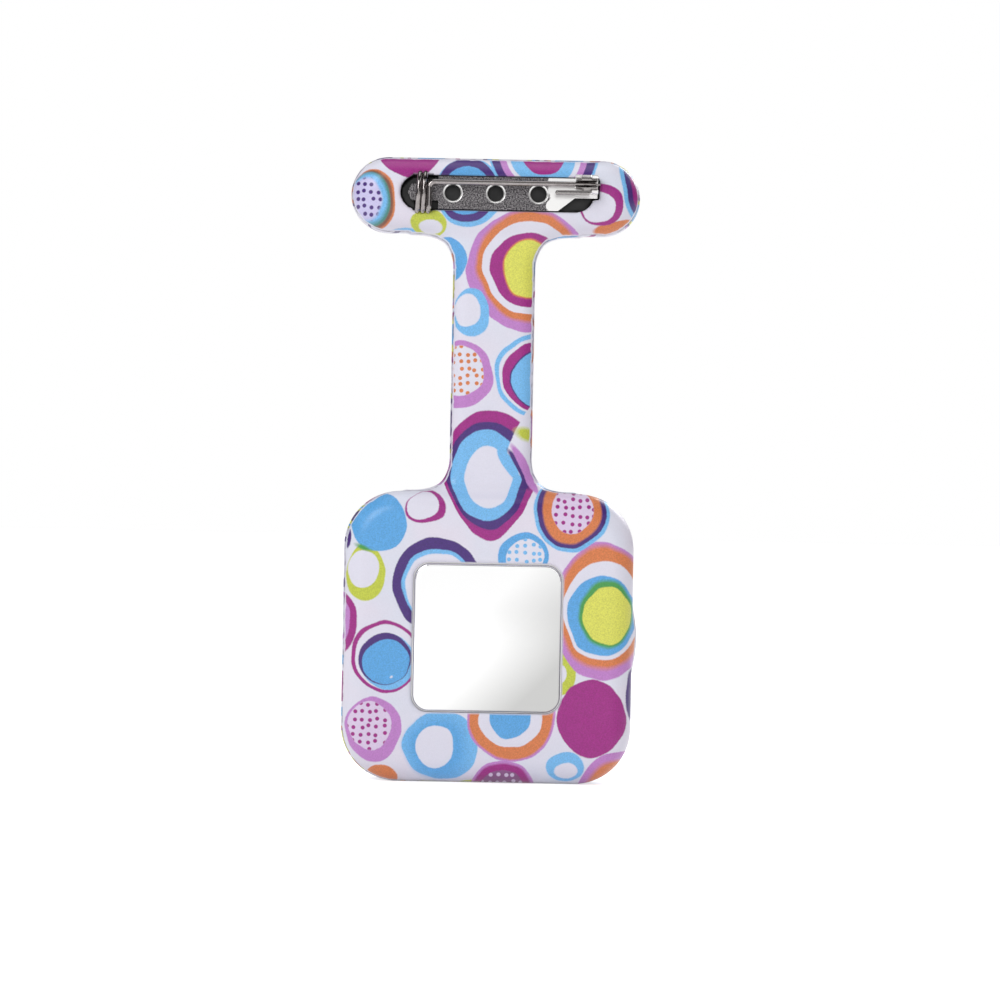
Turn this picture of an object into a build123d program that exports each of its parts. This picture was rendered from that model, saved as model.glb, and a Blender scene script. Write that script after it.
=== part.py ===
"""Nurse's fob watch: a soft silicone holder with a brooch pin, and a small quartz watch inside it.

Frame: +Z up as the watch hangs, the dial faces -Y, the brooch and the case back face +Y.
Origin: the centre of the crystal's outer face, on the hands' axis. All lengths are millimetres.
The dial is upside down as it hangs, so that the wearer reads it: 12 o'clock is at -Z, 3 o'clock at -X.
"""

from build123d import *
import os
from math import cos, pi, sin

# ---- holder: T-bar, strap and head ----
HEAD_SIDE = 40.0
HEAD_CORNER_R = 7.75
HEAD_FRONT_Y = -0.4
HEAD_BACK_Y = 10.6
HEAD_EDGE_R = 3.2
BAR_LENGTH = 40.0
BAR_HEIGHT = 10.5
BAR_Z = 60.95
BAR_FRONT_Y = 1.4
BAR_BACK_Y = 9.4
BAR_EDGE_R = 3.8
STRAP_WIDTH = 11.4
STRAP_FRONT_Y = 3.1
STRAP_BACK_Y = 7.7
STRAP_EDGE_R = 2.0
FLARE_R = 5.2
FLARE_SINK = 0.6
POCKET_SIDE = 33.0
POCKET_CORNER_R = 6.0
POCKET_FRONT_Y = 0.8
POCKET_BACK_Y = 9.2
FRONT_OPENING_SIDE = 28.5
FRONT_OPENING_R = 4.0
BACK_OPENING_SIDE = 20.6
BACK_OPENING_R = 2.3
CROWN_BULGE = 0.7
CROWN_BULGE_BASE_R = 5.5

# ---- brooch: plate, wire pin and turning catch ----
PLATE_Z = 61.15
PLATE_HALF_WIDTH = 2.25
PLATE_Y = 9.0
PLATE_THICKNESS = 0.4
PLATE_SHOULDER_X = 7.9
PLATE_TAPER_X = -8.6
PLATE_END_X = -14.05
NECK_HALF_WIDTH = 1.1
ARROW_X = 11.45
ARROW_TIP_X = 12.1
ARROW_HALF_WIDTH = 1.4
SEWING_HOLE_R = 1.1
SEWING_HOLE_PITCH = 5.9
SINK_DEPTH = 0.18
SLOT_HALF_WIDTH = 2.35
SLOT_LOW_X = -13.5
SLOT_HIGH_X = 13.1
SLOT_FLOOR_Y = 7.2
LEDGE_WIDTH = 0.6
WIRE_R = 0.36
COIL_TURNS = 2.6
COIL_PITCH = 0.74
COIL_END_X = 9.1
COIL_HALF_Y = 1.45
COIL_HALF_Z = 2.64
COIL_POINTS_PER_TURN = 12
NEEDLE_BEND_R = 0.8
NEEDLE_Z = 62.5
NEEDLE_STEP_X = -10.5
NEEDLE_NECK_X = -13.0
NEEDLE_NECK_R = 0.3
NEEDLE_TIP_X = -14.4
NEEDLE_TIP_R = 0.06
CATCH_INNER_X = -10.9
CATCH_OUTER_R = 1.35
CATCH_BORE_R = 0.98
CATCH_MOUTH_DEG = 50.0
CATCH_WINDOW_LOW_DEG = -70.0
CATCH_WINDOW_HIGH_DEG = 95.0
CATCH_WINDOW_X = (-13.15, -11.75)
DRUM_R = 0.94
DRUM_SLOT_R = 0.475
LEVER_DEG = -45.0
LEVER_REACH = 1.8
LEVER_R = 0.34
LEVER_ROOT_X = -12.45
LEVER_TIP_X = -8.5

# ---- watch case ----
CASE_SIDE = 32.8
CASE_CORNER_R = 5.9
CASE_FRONT_Y = 0.9
CASE_BACK_Y = 8.3
CAVITY_SIDE = 29.4
CAVITY_CORNER_R = 4.2
BEZEL_SIDE = 28.2
BEZEL_CORNER_R = 3.9
BEZEL_SEAT_Y = 2.2
CRYSTAL_SIDE = 26.4
CRYSTAL_CORNER_R = 3.2
CRYSTAL_THICKNESS = 1.3
SIGHT_SIDE = 25.2
SIGHT_CORNER_R = 2.7
BACK_PLATEAU_SIDE = 20.3
BACK_PLATEAU_R = 2.2
BACK_PLATEAU_Y = 10.0
BACK_FLANGE_Y = 9.1

# ---- crown and stem, along -X at 3 o'clock ----
STEM_Y = 5.6
STEM_R = 0.5
STEM_SQUARE = 0.56
STEM_INNER_X = -4.9
CROWN_R = 1.9
CROWN_INNER_X = -16.9
CROWN_OUTER_X = -18.9
CROWN_CAVITY_R = 1.25
CROWN_FLUTES = 24
CROWN_PULL = 0.8
TUBE_R = 0.9
TUBE_BORE_R = 0.55
TUBE_X = (-18.2, -14.65)
LEVER_FORK_X = (-8.1, -7.8)
PINION_X = (-7.05, -6.4)

# ---- dial and hands ----
DIAL_SIDE = 29.2
DIAL_Y = (3.6, 4.0)
HOUR_HAND_Y = (3.05, 3.2)
MINUTE_HAND_Y = (2.6, 2.75)
SECOND_HAND_Y = (2.15, 2.3)
HOUR_ANGLE = 304.8
MINUTE_ANGLE = 57.6
SECOND_ANGLE = 216.0

# ---- movement ----
PLATE_HALF_X = 9.3
PLATE_HALF_Z = 8.9
MAIN_FRONT_Y = 4.05
MAIN_FLOOR_Y = (4.85, 5.5)
BRIDGE_Y = (7.5, 8.0)
THIRD_AT = (-2.16, -2.16)
FIFTH_AT = (1.575, 2.73)
ROTOR_AT = (3.745, 3.52)
MINUTE_AT = (-2.4, 0.0)
SETTING_AT = (-5.2, 0.0)
BATTERY_AT = (3.9, -5.2)
BATTERY_R = 3.4
BATTERY_Y = (5.55, 8.15)
PILLARS_AT = ((-4.6, 3.2), (4.6, 0.2), (-5.9, -3.9))
COIL_SCREWS_AT = ((-5.9, 7.45), (6.2, 7.45))
CLAMP_SCREW_AT = (8.5, -5.2)
ARBOR_R = 0.12
PIVOT_HOLE_R = 0.16
CENTRE_ARBOR_R = 0.15

# Wheel and pinion modules; each pair that shares a centre distance has matching values.
FIFTH_STAGE_MODULE = 0.11
FOURTH_STAGE_MODULE = 0.175
THIRD_STAGE_MODULE = 0.09
CENTRE_STAGE_MODULE = 0.085
CANNON_MODULE = 0.1
HOUR_MODULE = 0.08


# ---------------------------------------------------------------- helpers

def slab(outline, y_front, y_back):
    """Extrude an XZ outline from y_front to y_back."""
    return extrude(Plane.XZ.offset(-y_back) * outline, amount=y_back - y_front)


def square(side, corner_r):
    return RectangleRounded(side, side, corner_r)


def frame(outer, inner, y_front, y_back):
    """Ring between two outlines."""
    return slab(outer - inner, y_front, y_back)


def disc(radius, y_front, y_back, at=(0.0, 0.0)):
    return slab(Pos(*at) * Circle(radius), y_front, y_back)


def tube(outer_r, inner_r, y_front, y_back, at=(0.0, 0.0)):
    return frame(Pos(*at) * Circle(outer_r), Pos(*at) * Circle(inner_r), y_front, y_back)


def block(x_range, y_range, z_range):
    """Box between low and high coordinates."""
    size = [high - low for low, high in (x_range, y_range, z_range)]
    middle = [(high + low) / 2 for low, high in (x_range, y_range, z_range)]
    return Pos(*middle) * Box(*size)


def along_x(outline, x_low, x_high):
    """Extrude an outline drawn in Y and Z from x_low to x_high."""
    return extrude(Plane.YZ.offset(x_low) * outline, amount=x_high - x_low)


def shaft(radius, x_low, x_high, y, z):
    return along_x(Pos(y, z) * Circle(radius), x_low, x_high)


def soft_slab(outline, y_front, y_back, edge_r):
    """Slab with its front and back rims rounded."""
    body = slab(outline, y_front, y_back)
    rims = body.edges().group_by(Axis.Y)
    return fillet(rims[0] + rims[-1], edge_r)


def polar(radius, degrees):
    """Point in the YZ plane, measured from +Y towards +Z."""
    return radius * cos(degrees * pi / 180), radius * sin(degrees * pi / 180)


def sector(radius, low_deg, high_deg, at):
    """Pie slice in the YZ plane, for cutting mouths in a rolled tube."""
    steps = 8
    angles = [low_deg + (high_deg - low_deg) * i / steps for i in range(steps + 1)]
    return Pos(*at) * make_face(Polyline((0, 0), *[polar(radius, a) for a in angles], close=True))


def toothed(teeth, module, turn_deg=0.0, at=(0.0, 0.0)):
    """Wheel outline with straight-flanked teeth; tooth 0 points along turn_deg, with backlash."""
    root = module * (teeth / 2 - 1.2)
    tip = module * (teeth / 2 + 0.9)
    points = []
    for tooth in range(teeth):
        for radius, share in ((root, -0.29), (tip, -0.12), (tip, 0.12), (root, 0.29)):
            angle = 2 * pi * (tooth + share) / teeth
            points.append((radius * cos(angle), radius * sin(angle)))
    return Pos(*at) * Rot(0, 0, turn_deg) * make_face(Polyline(*points, close=True))


def meshed(teeth, module, towards_deg, at):
    """Outline whose gap faces the driving wheel, which lies in direction towards_deg."""
    return toothed(teeth, module, towards_deg + 180.0 / teeth, at)


def direction(start, end):
    """Direction in degrees from one wheel's centre to another's."""
    return Vector(1, 0, 0).get_signed_angle(Vector(end[0] - start[0], end[1] - start[1], 0), Vector(0, 0, 1))


def spoked(outline, rim_r, hub_r, at, spokes=4, spoke_width=0.3):
    """Cross out a wheel: remove the web between hub and rim, leaving spokes."""
    window = Circle(rim_r) - Circle(hub_r)
    for spoke in range(spokes // 2):
        window -= Rot(0, 0, 180.0 * spoke / (spokes // 2)) * Rectangle(2.2 * rim_r, spoke_width)
    return outline - Pos(*at) * window


# ---------------------------------------------------------------- holder

def strap_outline():
    """Parallel strap with a concave flare where it meets the T-bar and the head."""
    head_z = HEAD_SIDE / 2 - FLARE_SINK
    bar_z = BAR_Z - BAR_HEIGHT / 2 + FLARE_SINK
    reach = STRAP_WIDTH / 2 + FLARE_R
    root = 2.3 * STRAP_EDGE_R
    outline = Pos(0, (head_z + bar_z) / 2) * Rectangle(STRAP_WIDTH, bar_z - head_z)
    for end_z, into_strap in ((head_z, 1), (bar_z, -1)):
        flare = Pos(0, end_z + into_strap * FLARE_R / 2) * Rectangle(2 * reach, FLARE_R)
        for side in (-1, 1):
            flare -= Pos(side * reach, end_z + into_strap * FLARE_R) * Circle(FLARE_R)
        outline += flare
        outline += Pos(0, end_z - into_strap * root / 2) * Rectangle(2 * reach, root)
    return outline


def crown_bulge():
    """Shallow swelling of the head's side over the crown."""
    cap_r = (CROWN_BULGE_BASE_R ** 2 + CROWN_BULGE ** 2) / (2 * CROWN_BULGE)
    outer_x = -HEAD_SIDE / 2 - CROWN_BULGE
    ball = Pos(outer_x + cap_r, STEM_Y - 0.5, 0) * Sphere(cap_r)
    return ball & block((outer_x, -HEAD_SIDE / 2 + 2.0), (1.5, 8.7), (-9, 9))


def brooch_slot():
    """Recess for the brooch: a long slot, two ledges under the plate, room for coil and catch."""
    length = SLOT_HIGH_X - SLOT_LOW_X
    centre_x = (SLOT_HIGH_X + SLOT_LOW_X) / 2
    slot = slab(Pos(centre_x, PLATE_Z) * SlotOverall(length, 2 * SLOT_HALF_WIDTH), SLOT_FLOOR_Y, BAR_BACK_Y + 1)
    ledge_top = PLATE_Y - PLATE_THICKNESS / 2
    for side in (-1, 1):
        edge = PLATE_Z + side * SLOT_HALF_WIDTH
        z_range = sorted((edge, edge - side * LEDGE_WIDTH))
        slot -= block((PLATE_TAPER_X + 0.5, PLATE_SHOULDER_X - 0.4), (SLOT_FLOOR_Y, ledge_top), z_range)
    trough = Pos(PLATE_Y, PLATE_Z) * RectangleRounded(4.6, 2 * (COIL_HALF_Z + WIRE_R) + 0.3, 1.3)
    slot += along_x(trough, 7.7, 12.6)
    catch_relief = Pos(PLATE_Y + COIL_HALF_Y, NEEDLE_Z) * Circle(CATCH_OUTER_R + 0.15)
    slot += along_x(catch_relief, PLATE_END_X - 0.25, CATCH_INNER_X)
    end_z = (PLATE_Z - 0.6, PLATE_Z + SLOT_HALF_WIDTH)
    slot += block((PLATE_END_X - 0.25, CATCH_INNER_X), (PLATE_Y - 0.35, PLATE_Y + 1), end_z)
    return slot


def silicone_holder():
    head = soft_slab(square(HEAD_SIDE, HEAD_CORNER_R), HEAD_FRONT_Y, HEAD_BACK_Y, HEAD_EDGE_R)
    t_bar = soft_slab(Pos(0, BAR_Z) * SlotOverall(BAR_LENGTH, BAR_HEIGHT), BAR_FRONT_Y, BAR_BACK_Y, BAR_EDGE_R)
    strap = soft_slab(strap_outline(), STRAP_FRONT_Y, STRAP_BACK_Y, STRAP_EDGE_R)
    holder = head + t_bar + strap + crown_bulge()
    holder -= slab(square(POCKET_SIDE, POCKET_CORNER_R), POCKET_FRONT_Y, POCKET_BACK_Y)
    holder -= slab(square(FRONT_OPENING_SIDE, FRONT_OPENING_R), HEAD_FRONT_Y - 1, POCKET_FRONT_Y + 1)
    holder -= slab(square(BACK_OPENING_SIDE, BACK_OPENING_R), POCKET_BACK_Y - 1, HEAD_BACK_Y + 1)
    crown_room = CROWN_OUTER_X - CROWN_PULL - 0.1
    holder -= shaft(CROWN_R + 0.2, crown_room, -POCKET_SIDE / 2 + 1, STEM_Y, 0)
    return holder - brooch_slot()


# ---------------------------------------------------------------- brooch

def catch_axis():
    return PLATE_Y + COIL_HALF_Y, NEEDLE_Z


def brooch_plate():
    """Stamped strip with three sewing holes, an arrow head inside the coil and a rolled catch housing."""
    taper_z = PLATE_Z - 0.45
    low, high = PLATE_Z - PLATE_HALF_WIDTH, PLATE_Z + PLATE_HALF_WIDTH
    corners = [
        (PLATE_SHOULDER_X, high), (PLATE_SHOULDER_X, PLATE_Z + NECK_HALF_WIDTH),
        (ARROW_X, PLATE_Z + NECK_HALF_WIDTH), (ARROW_X, PLATE_Z + ARROW_HALF_WIDTH),
        (ARROW_TIP_X, PLATE_Z), (ARROW_X, PLATE_Z - ARROW_HALF_WIDTH),
        (ARROW_X, PLATE_Z - NECK_HALF_WIDTH), (PLATE_SHOULDER_X, PLATE_Z - NECK_HALF_WIDTH),
        (PLATE_SHOULDER_X, low), (PLATE_TAPER_X, low), (CATCH_INNER_X, taper_z),
        (PLATE_END_X, taper_z), (PLATE_END_X, high), (CATCH_INNER_X, high),
    ]
    outline = make_face(Polyline(*corners, close=True))
    for step in (-1, 0, 1):
        outline -= Pos(step * SEWING_HOLE_PITCH, PLATE_Z) * Circle(SEWING_HOLE_R)
    back_y = PLATE_Y + PLATE_THICKNESS / 2
    plate = slab(outline, back_y - PLATE_THICKNESS, back_y)
    for step in (-1, 0, 1):
        sink = Pos(step * SEWING_HOLE_PITCH, back_y - SINK_DEPTH / 2, PLATE_Z) * Rot(-90, 0, 0)
        plate -= sink * Cone(SEWING_HOLE_R, SEWING_HOLE_R + SINK_DEPTH, SINK_DEPTH)
    ring = Pos(*catch_axis()) * (Circle(CATCH_OUTER_R) - Circle(CATCH_BORE_R))
    ring -= sector(2 * CATCH_OUTER_R, -CATCH_MOUTH_DEG, CATCH_MOUTH_DEG, catch_axis())
    housing = along_x(ring, PLATE_END_X, CATCH_INNER_X)
    window = sector(2 * CATCH_OUTER_R, CATCH_WINDOW_LOW_DEG, CATCH_WINDOW_HIGH_DEG, catch_axis())
    housing -= along_x(window, *CATCH_WINDOW_X)
    bore = shaft(CATCH_BORE_R, PLATE_END_X - 1, CATCH_INNER_X + 0.05, *catch_axis())
    return plate + housing - bore


def safety_drum():
    """Slotted drum with a finger: turning it closes the catch over the needle."""
    centre_y, centre_z = catch_axis()
    profile = Circle(DRUM_R) - Circle(DRUM_SLOT_R) - Pos(1, 0) * Rectangle(2, 2 * DRUM_SLOT_R)
    drum = along_x(Pos(centre_y, centre_z) * profile, PLATE_END_X + 0.1, CATCH_INNER_X - 0.1)
    lever_y, lever_z = polar(LEVER_REACH, LEVER_DEG)
    root_y, root_z = polar(DRUM_R / 2 + LEVER_REACH / 2 - 0.1, LEVER_DEG)
    stub = Rot(0, 0, LEVER_DEG) * Rectangle(LEVER_REACH - DRUM_R + 0.3, 2 * LEVER_R - 0.1)
    root = along_x(Pos(centre_y + root_y, centre_z + root_z) * stub, LEVER_ROOT_X - 0.4, LEVER_ROOT_X + 0.4)
    finger = shaft(LEVER_R, LEVER_ROOT_X - 0.4, LEVER_TIP_X, centre_y + lever_y, centre_z + lever_z)
    tip = Pos(LEVER_TIP_X, centre_y + lever_y, centre_z + lever_z) * Sphere(LEVER_R)
    return drum + root + finger + tip


def needle_cone(x_high, x_low, r_high, r_low):
    """Ground stretch of the needle, thinner towards -X."""
    top_y = PLATE_Y + COIL_HALF_Y
    return Pos((x_high + x_low) / 2, top_y, NEEDLE_Z) * Rot(0, -90, 0) * Cone(r_high, r_low, x_high - x_low)


def pin_wire():
    """One spring wire: a flattened coil round the plate's neck, a bend, and the straight needle."""
    count = round(COIL_TURNS * COIL_POINTS_PER_TURN)
    points = []
    for i in range(count + 1):
        turns_left = (count - i) / COIL_POINTS_PER_TURN
        angle = -2 * pi * turns_left
        y = PLATE_Y + COIL_HALF_Y * cos(angle)
        z = PLATE_Z + COIL_HALF_Z * sin(angle)
        points.append((COIL_END_X + COIL_PITCH * turns_left, y, z))
    top_y = PLATE_Y + COIL_HALF_Y
    bend_z = NEEDLE_Z - NEEDLE_BEND_R
    bend_x = COIL_END_X - NEEDLE_BEND_R
    coil = Spline(*points, tangents=[Vector(*points[1]) - Vector(*points[0]), Vector(0, 0, 1)])
    rise = Line((COIL_END_X, top_y, PLATE_Z), (COIL_END_X, top_y, bend_z))
    half = NEEDLE_BEND_R * sin(pi / 4)
    bend = ThreePointArc(
        (COIL_END_X, top_y, bend_z), (bend_x + half, top_y, bend_z + half), (bend_x, top_y, NEEDLE_Z)
    )
    needle = Line((bend_x, top_y, NEEDLE_Z), (NEEDLE_STEP_X, top_y, NEEDLE_Z))
    path = coil + rise + bend + needle
    start = Plane(origin=points[0], z_dir=path % 0)
    wire = sweep(start * Circle(WIRE_R), path=path)
    wire += needle_cone(NEEDLE_STEP_X, NEEDLE_NECK_X, WIRE_R, NEEDLE_NECK_R)
    return wire + needle_cone(NEEDLE_NECK_X, NEEDLE_TIP_X, NEEDLE_NECK_R, NEEDLE_TIP_R)


# ---------------------------------------------------------------- case

def case_body():
    body = slab(square(CASE_SIDE, CASE_CORNER_R), CASE_FRONT_Y, CASE_BACK_Y)
    front_rim = body.edges().group_by(Axis.Y)[0]
    body = fillet(front_rim, 0.6)
    body -= slab(square(BEZEL_SIDE, BEZEL_CORNER_R), CASE_FRONT_Y - 1, BEZEL_SEAT_Y)
    body -= slab(square(SIGHT_SIDE, SIGHT_CORNER_R), CASE_FRONT_Y, CASE_BACK_Y)
    body -= slab(square(CAVITY_SIDE, CAVITY_CORNER_R), BEZEL_SEAT_Y + 0.6, CASE_BACK_Y)
    body -= slab(square(CAVITY_SIDE + 1.0, CAVITY_CORNER_R + 0.5), CASE_BACK_Y - 0.4, CASE_BACK_Y)
    return body - shaft(TUBE_R, -CASE_SIDE, -CAVITY_SIDE / 2 + 1, STEM_Y, 0)


def bezel():
    ring = slab(square(BEZEL_SIDE, BEZEL_CORNER_R), 0.1, BEZEL_SEAT_Y)
    ring = chamfer(ring.edges().group_by(Axis.Y)[0], 0.35)
    ring -= slab(square(CRYSTAL_SIDE, CRYSTAL_CORNER_R), -1, CRYSTAL_THICKNESS + 0.3)
    return ring - slab(square(SIGHT_SIDE, SIGHT_CORNER_R), 0, BEZEL_SEAT_Y)


def crystal():
    pane = slab(square(CRYSTAL_SIDE, CRYSTAL_CORNER_R), 0, CRYSTAL_THICKNESS)
    return chamfer(pane.edges().group_by(Axis.Y)[0], 0.25)


def crystal_gasket():
    outer = square(CRYSTAL_SIDE, CRYSTAL_CORNER_R)
    return frame(outer, square(SIGHT_SIDE, SIGHT_CORNER_R), CRYSTAL_THICKNESS, CRYSTAL_THICKNESS + 0.3)


def case_back():
    """Pressed cover: flange, raised polished panel in the holder's rear opening, and a plug rim."""
    flange = slab(square(CASE_SIDE, CASE_CORNER_R), CASE_BACK_Y, BACK_FLANGE_Y)
    panel = slab(square(BACK_PLATEAU_SIDE, BACK_PLATEAU_R), BACK_FLANGE_Y, BACK_PLATEAU_Y)
    panel = fillet(panel.edges().group_by(Axis.Y)[-1], 0.3)
    plug_side = CAVITY_SIDE - 0.1
    plug = frame(square(plug_side, CAVITY_CORNER_R), square(27.6, 3.4), CASE_BACK_Y - 0.6, CASE_BACK_Y)
    hollow = slab(square(BACK_PLATEAU_SIDE - 1.5, 1.6), CASE_BACK_Y - 0.1, BACK_PLATEAU_Y - 0.6)
    return flange + panel + plug - hollow


def case_back_gasket():
    outer = square(CAVITY_SIDE + 0.95, CAVITY_CORNER_R + 0.45)
    return frame(outer, square(CAVITY_SIDE, CAVITY_CORNER_R), CASE_BACK_Y - 0.38, CASE_BACK_Y - 0.02)


def crown_tube():
    return shaft(TUBE_R, *TUBE_X, STEM_Y, 0) - shaft(TUBE_BORE_R, *TUBE_X, STEM_Y, 0)


# ---------------------------------------------------------------- crown

def crown():
    """Fluted knob with a blind cavity that slides over the crown tube."""
    knob = Circle(CROWN_R)
    for flute in range(CROWN_FLUTES):
        knob -= Rot(0, 0, 360.0 * flute / CROWN_FLUTES) * Pos(CROWN_R + 0.06, 0) * Circle(0.16)
    body = along_x(Pos(STEM_Y, 0) * knob, CROWN_OUTER_X + 0.3, CROWN_INNER_X)
    body += shaft(CROWN_R - 0.25, CROWN_OUTER_X, CROWN_OUTER_X + 0.3, STEM_Y, 0)
    body -= shaft(CROWN_CAVITY_R, CROWN_OUTER_X + 0.45, CROWN_INNER_X, STEM_Y, 0)
    return body


def crown_gasket():
    groove_r = (TUBE_R + CROWN_CAVITY_R) / 2
    return Pos(CROWN_INNER_X - 0.25, STEM_Y, 0) * Rot(0, 90, 0) * Torus(groove_r, 0.155)


def winding_stem():
    """Round stem with a square inner end for the clutch pinion and a groove for the setting lever."""
    square_end = -7.6
    stem = shaft(STEM_R, CROWN_OUTER_X + 0.45, square_end, STEM_Y, 0)
    groove_low, groove_high = LEVER_FORK_X[0] - 0.03, LEVER_FORK_X[1] + 0.03
    stem -= shaft(STEM_R, groove_low, groove_high, STEM_Y, 0) - shaft(0.25, groove_low, groove_high, STEM_Y, 0)
    return stem + along_x(Pos(STEM_Y, 0) * Rectangle(STEM_SQUARE, STEM_SQUARE), square_end, STEM_INNER_X)


def setting_lever():
    """Forked plate that sits in the stem's groove and travels with it."""
    fork = Pos(STEM_Y + 0.35, 0) * Rectangle(1.9, 2.2)
    fork -= Pos(STEM_Y, 0) * Circle(0.29) + Pos(STEM_Y - 1, 0) * Rectangle(2, 0.58)
    return along_x(fork, *LEVER_FORK_X)


def sliding_pinion():
    outline = toothed(10, 0.13) - Rectangle(STEM_SQUARE + 0.08, STEM_SQUARE + 0.08)
    return along_x(Pos(STEM_Y, 0) * outline, *PINION_X)


# ---------------------------------------------------------------- dial side

def dial():
    plate = slab(square(DIAL_SIDE, CAVITY_CORNER_R - 0.1), *DIAL_Y)
    return plate - disc(0.95, *DIAL_Y)


def dial_ring():
    return frame(square(DIAL_SIDE, CAVITY_CORNER_R - 0.1), square(25.4, 2.8), BEZEL_SEAT_Y + 0.65, DIAL_Y[0])


def hand(length, tail, root_width, tip_width, eye_r, bore_r, clock_deg, y_range):
    """Tapered hand with a round eye, pointing at clock_deg clockwise from 12 o'clock."""
    corners = [(-root_width / 2, -tail), (root_width / 2, -tail), (tip_width / 2, length), (-tip_width / 2, length)]
    outline = make_face(Polyline(*corners, close=True)) + Circle(eye_r) - Circle(bore_r)
    return slab(Rot(0, 0, 180.0 - clock_deg) * outline, *y_range)


def hour_hand():
    return hand(6.6, 1.9, 1.15, 0.7, 1.2, 0.75, HOUR_ANGLE, HOUR_HAND_Y)


def minute_hand():
    return hand(10.2, 2.2, 0.95, 0.5, 0.95, 0.46, MINUTE_ANGLE, MINUTE_HAND_Y)


def second_hand():
    return hand(11.2, 3.2, 0.34, 0.2, 0.65, CENTRE_ARBOR_R, SECOND_ANGLE, SECOND_HAND_Y)


def cannon_pinion():
    """Friction sleeve that carries the minute hand and drives the motion work."""
    sleeve = tube(0.46, 0.32, MINUTE_HAND_Y[0], 4.8)
    teeth = slab(meshed(12, CANNON_MODULE, 180.0, (0, 0)) - Circle(0.32), 4.5, 4.72)
    return sleeve + teeth


def minute_wheel():
    wheel = slab(toothed(36, CANNON_MODULE, 0, MINUTE_AT), 4.5, 4.7)
    pinion = slab(toothed(12, HOUR_MODULE, 0, MINUTE_AT), 4.2, 4.5)
    post = disc(0.25, 4.7, 5.4, MINUTE_AT)
    return wheel + pinion + post


def hour_wheel():
    wheel = slab(meshed(48, HOUR_MODULE, 180.0, (0, 0)) - Circle(0.52), 4.22, 4.4)
    return wheel + tube(0.75, 0.52, HOUR_HAND_Y[0], 4.4)


def dial_washer():
    """Thin sprung washer between dial and hour wheel."""
    return tube(1.5, 0.82, 4.04, 4.16)


def setting_wheel():
    wheel = slab(meshed(20, CANNON_MODULE, 0.0, SETTING_AT), 4.5, 4.7)
    return wheel + disc(0.25, 4.7, 4.83, SETTING_AT)


# ---------------------------------------------------------------- movement

def movement_outline(grow=0.0):
    return RectangleRounded(2 * (PLATE_HALF_X + grow), 2 * (PLATE_HALF_Z + grow), 2.0 + grow)


def main_plate():
    """Base plate: dial-side recess for the motion work, floor with pivot holes, channel for the stem."""
    plate = slab(movement_outline(), MAIN_FRONT_Y, MAIN_FLOOR_Y[1])
    plate -= slab(Pos(-1.9, 0) * SlotOverall(9.6, 5.4), MAIN_FRONT_Y, MAIN_FLOOR_Y[0])
    for at in (THIRD_AT, FIFTH_AT, ROTOR_AT):
        plate -= disc(PIVOT_HOLE_R, *MAIN_FLOOR_Y, at)
    plate -= disc(0.3, *MAIN_FLOOR_Y, MINUTE_AT)
    plate -= disc(0.37, *MAIN_FLOOR_Y)
    for at in COIL_SCREWS_AT + (CLAMP_SCREW_AT,):
        plate -= disc(0.35, MAIN_FRONT_Y + 0.6, MAIN_FLOOR_Y[1], at)
    plate -= block((-PLATE_HALF_X - 1, -6.35), (MAIN_FLOOR_Y[0], MAIN_FLOOR_Y[1]), (-1.3, 1.3))
    return plate - shaft(0.85, -PLATE_HALF_X - 1, STEM_INNER_X + 0.1, STEM_Y, 0)


def movement_holder():
    """Moulded spacer ring between the movement and the case."""
    outer = square(DIAL_SIDE, CAVITY_CORNER_R - 0.1)
    ring = frame(outer, movement_outline(0.1), DIAL_Y[1] + 0.05, 7.6)
    return ring - shaft(0.6, -DIAL_SIDE, 0, STEM_Y, 0)


def train_bridge():
    bridge = slab(Pos(-0.6, 0.2) * RectangleRounded(13.4, 9.8, 1.5), *BRIDGE_Y)
    bridge += slab(Pos(ROTOR_AT[0], ROTOR_AT[1] + 0.6) * RectangleRounded(3.6, 3.4, 1.0), *BRIDGE_Y)
    bridge -= disc(BATTERY_R + 0.3, *BRIDGE_Y, BATTERY_AT)
    for at in PILLARS_AT:
        bridge += disc(0.8, MAIN_FLOOR_Y[1], BRIDGE_Y[0], at)
        bridge -= disc(0.3, BRIDGE_Y[0] - 1.2, BRIDGE_Y[1], at)
    for at in (THIRD_AT, FIFTH_AT, ROTOR_AT):
        bridge -= disc(PIVOT_HOLE_R, *BRIDGE_Y, at)
    return bridge - disc(CENTRE_ARBOR_R + 0.04, *BRIDGE_Y)


def arbor(at, y_front=MAIN_FLOOR_Y[0] + 0.1, y_back=BRIDGE_Y[1] - 0.1):
    return disc(ARBOR_R, y_front, y_back, at)


def centre_wheel():
    wheel = spoked(meshed(64, CENTRE_STAGE_MODULE, direction((0, 0), THIRD_AT), (0, 0)), 2.2, 0.8, (0, 0))
    body = slab(wheel - Circle(0.19), 5.7, 5.9)
    return body + tube(0.32, 0.19, MINUTE_HAND_Y[0], 5.95)


def third_wheel():
    facing = direction(THIRD_AT, (0, 0))
    wheel = spoked(meshed(60, THIRD_STAGE_MODULE, facing, THIRD_AT), 2.2, 0.7, THIRD_AT)
    pinion = slab(toothed(8, CENTRE_STAGE_MODULE, facing, THIRD_AT), 5.65, 6.1)
    return slab(wheel, 6.1, 6.3) + pinion + arbor(THIRD_AT)


def fourth_wheel():
    """Seconds wheel: its long arbor runs through the centre wheel to the second hand."""
    to_fifth = direction((0, 0), FIFTH_AT)
    wheel = spoked(meshed(30, FOURTH_STAGE_MODULE, to_fifth, (0, 0)), 2.05, 0.7, (0, 0))
    pinion = slab(toothed(8, THIRD_STAGE_MODULE, direction((0, 0), THIRD_AT)), 6.05, 6.6)
    return slab(wheel, 6.6, 6.8) + pinion + disc(CENTRE_ARBOR_R, SECOND_HAND_Y[0], BRIDGE_Y[1] - 0.1)


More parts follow.
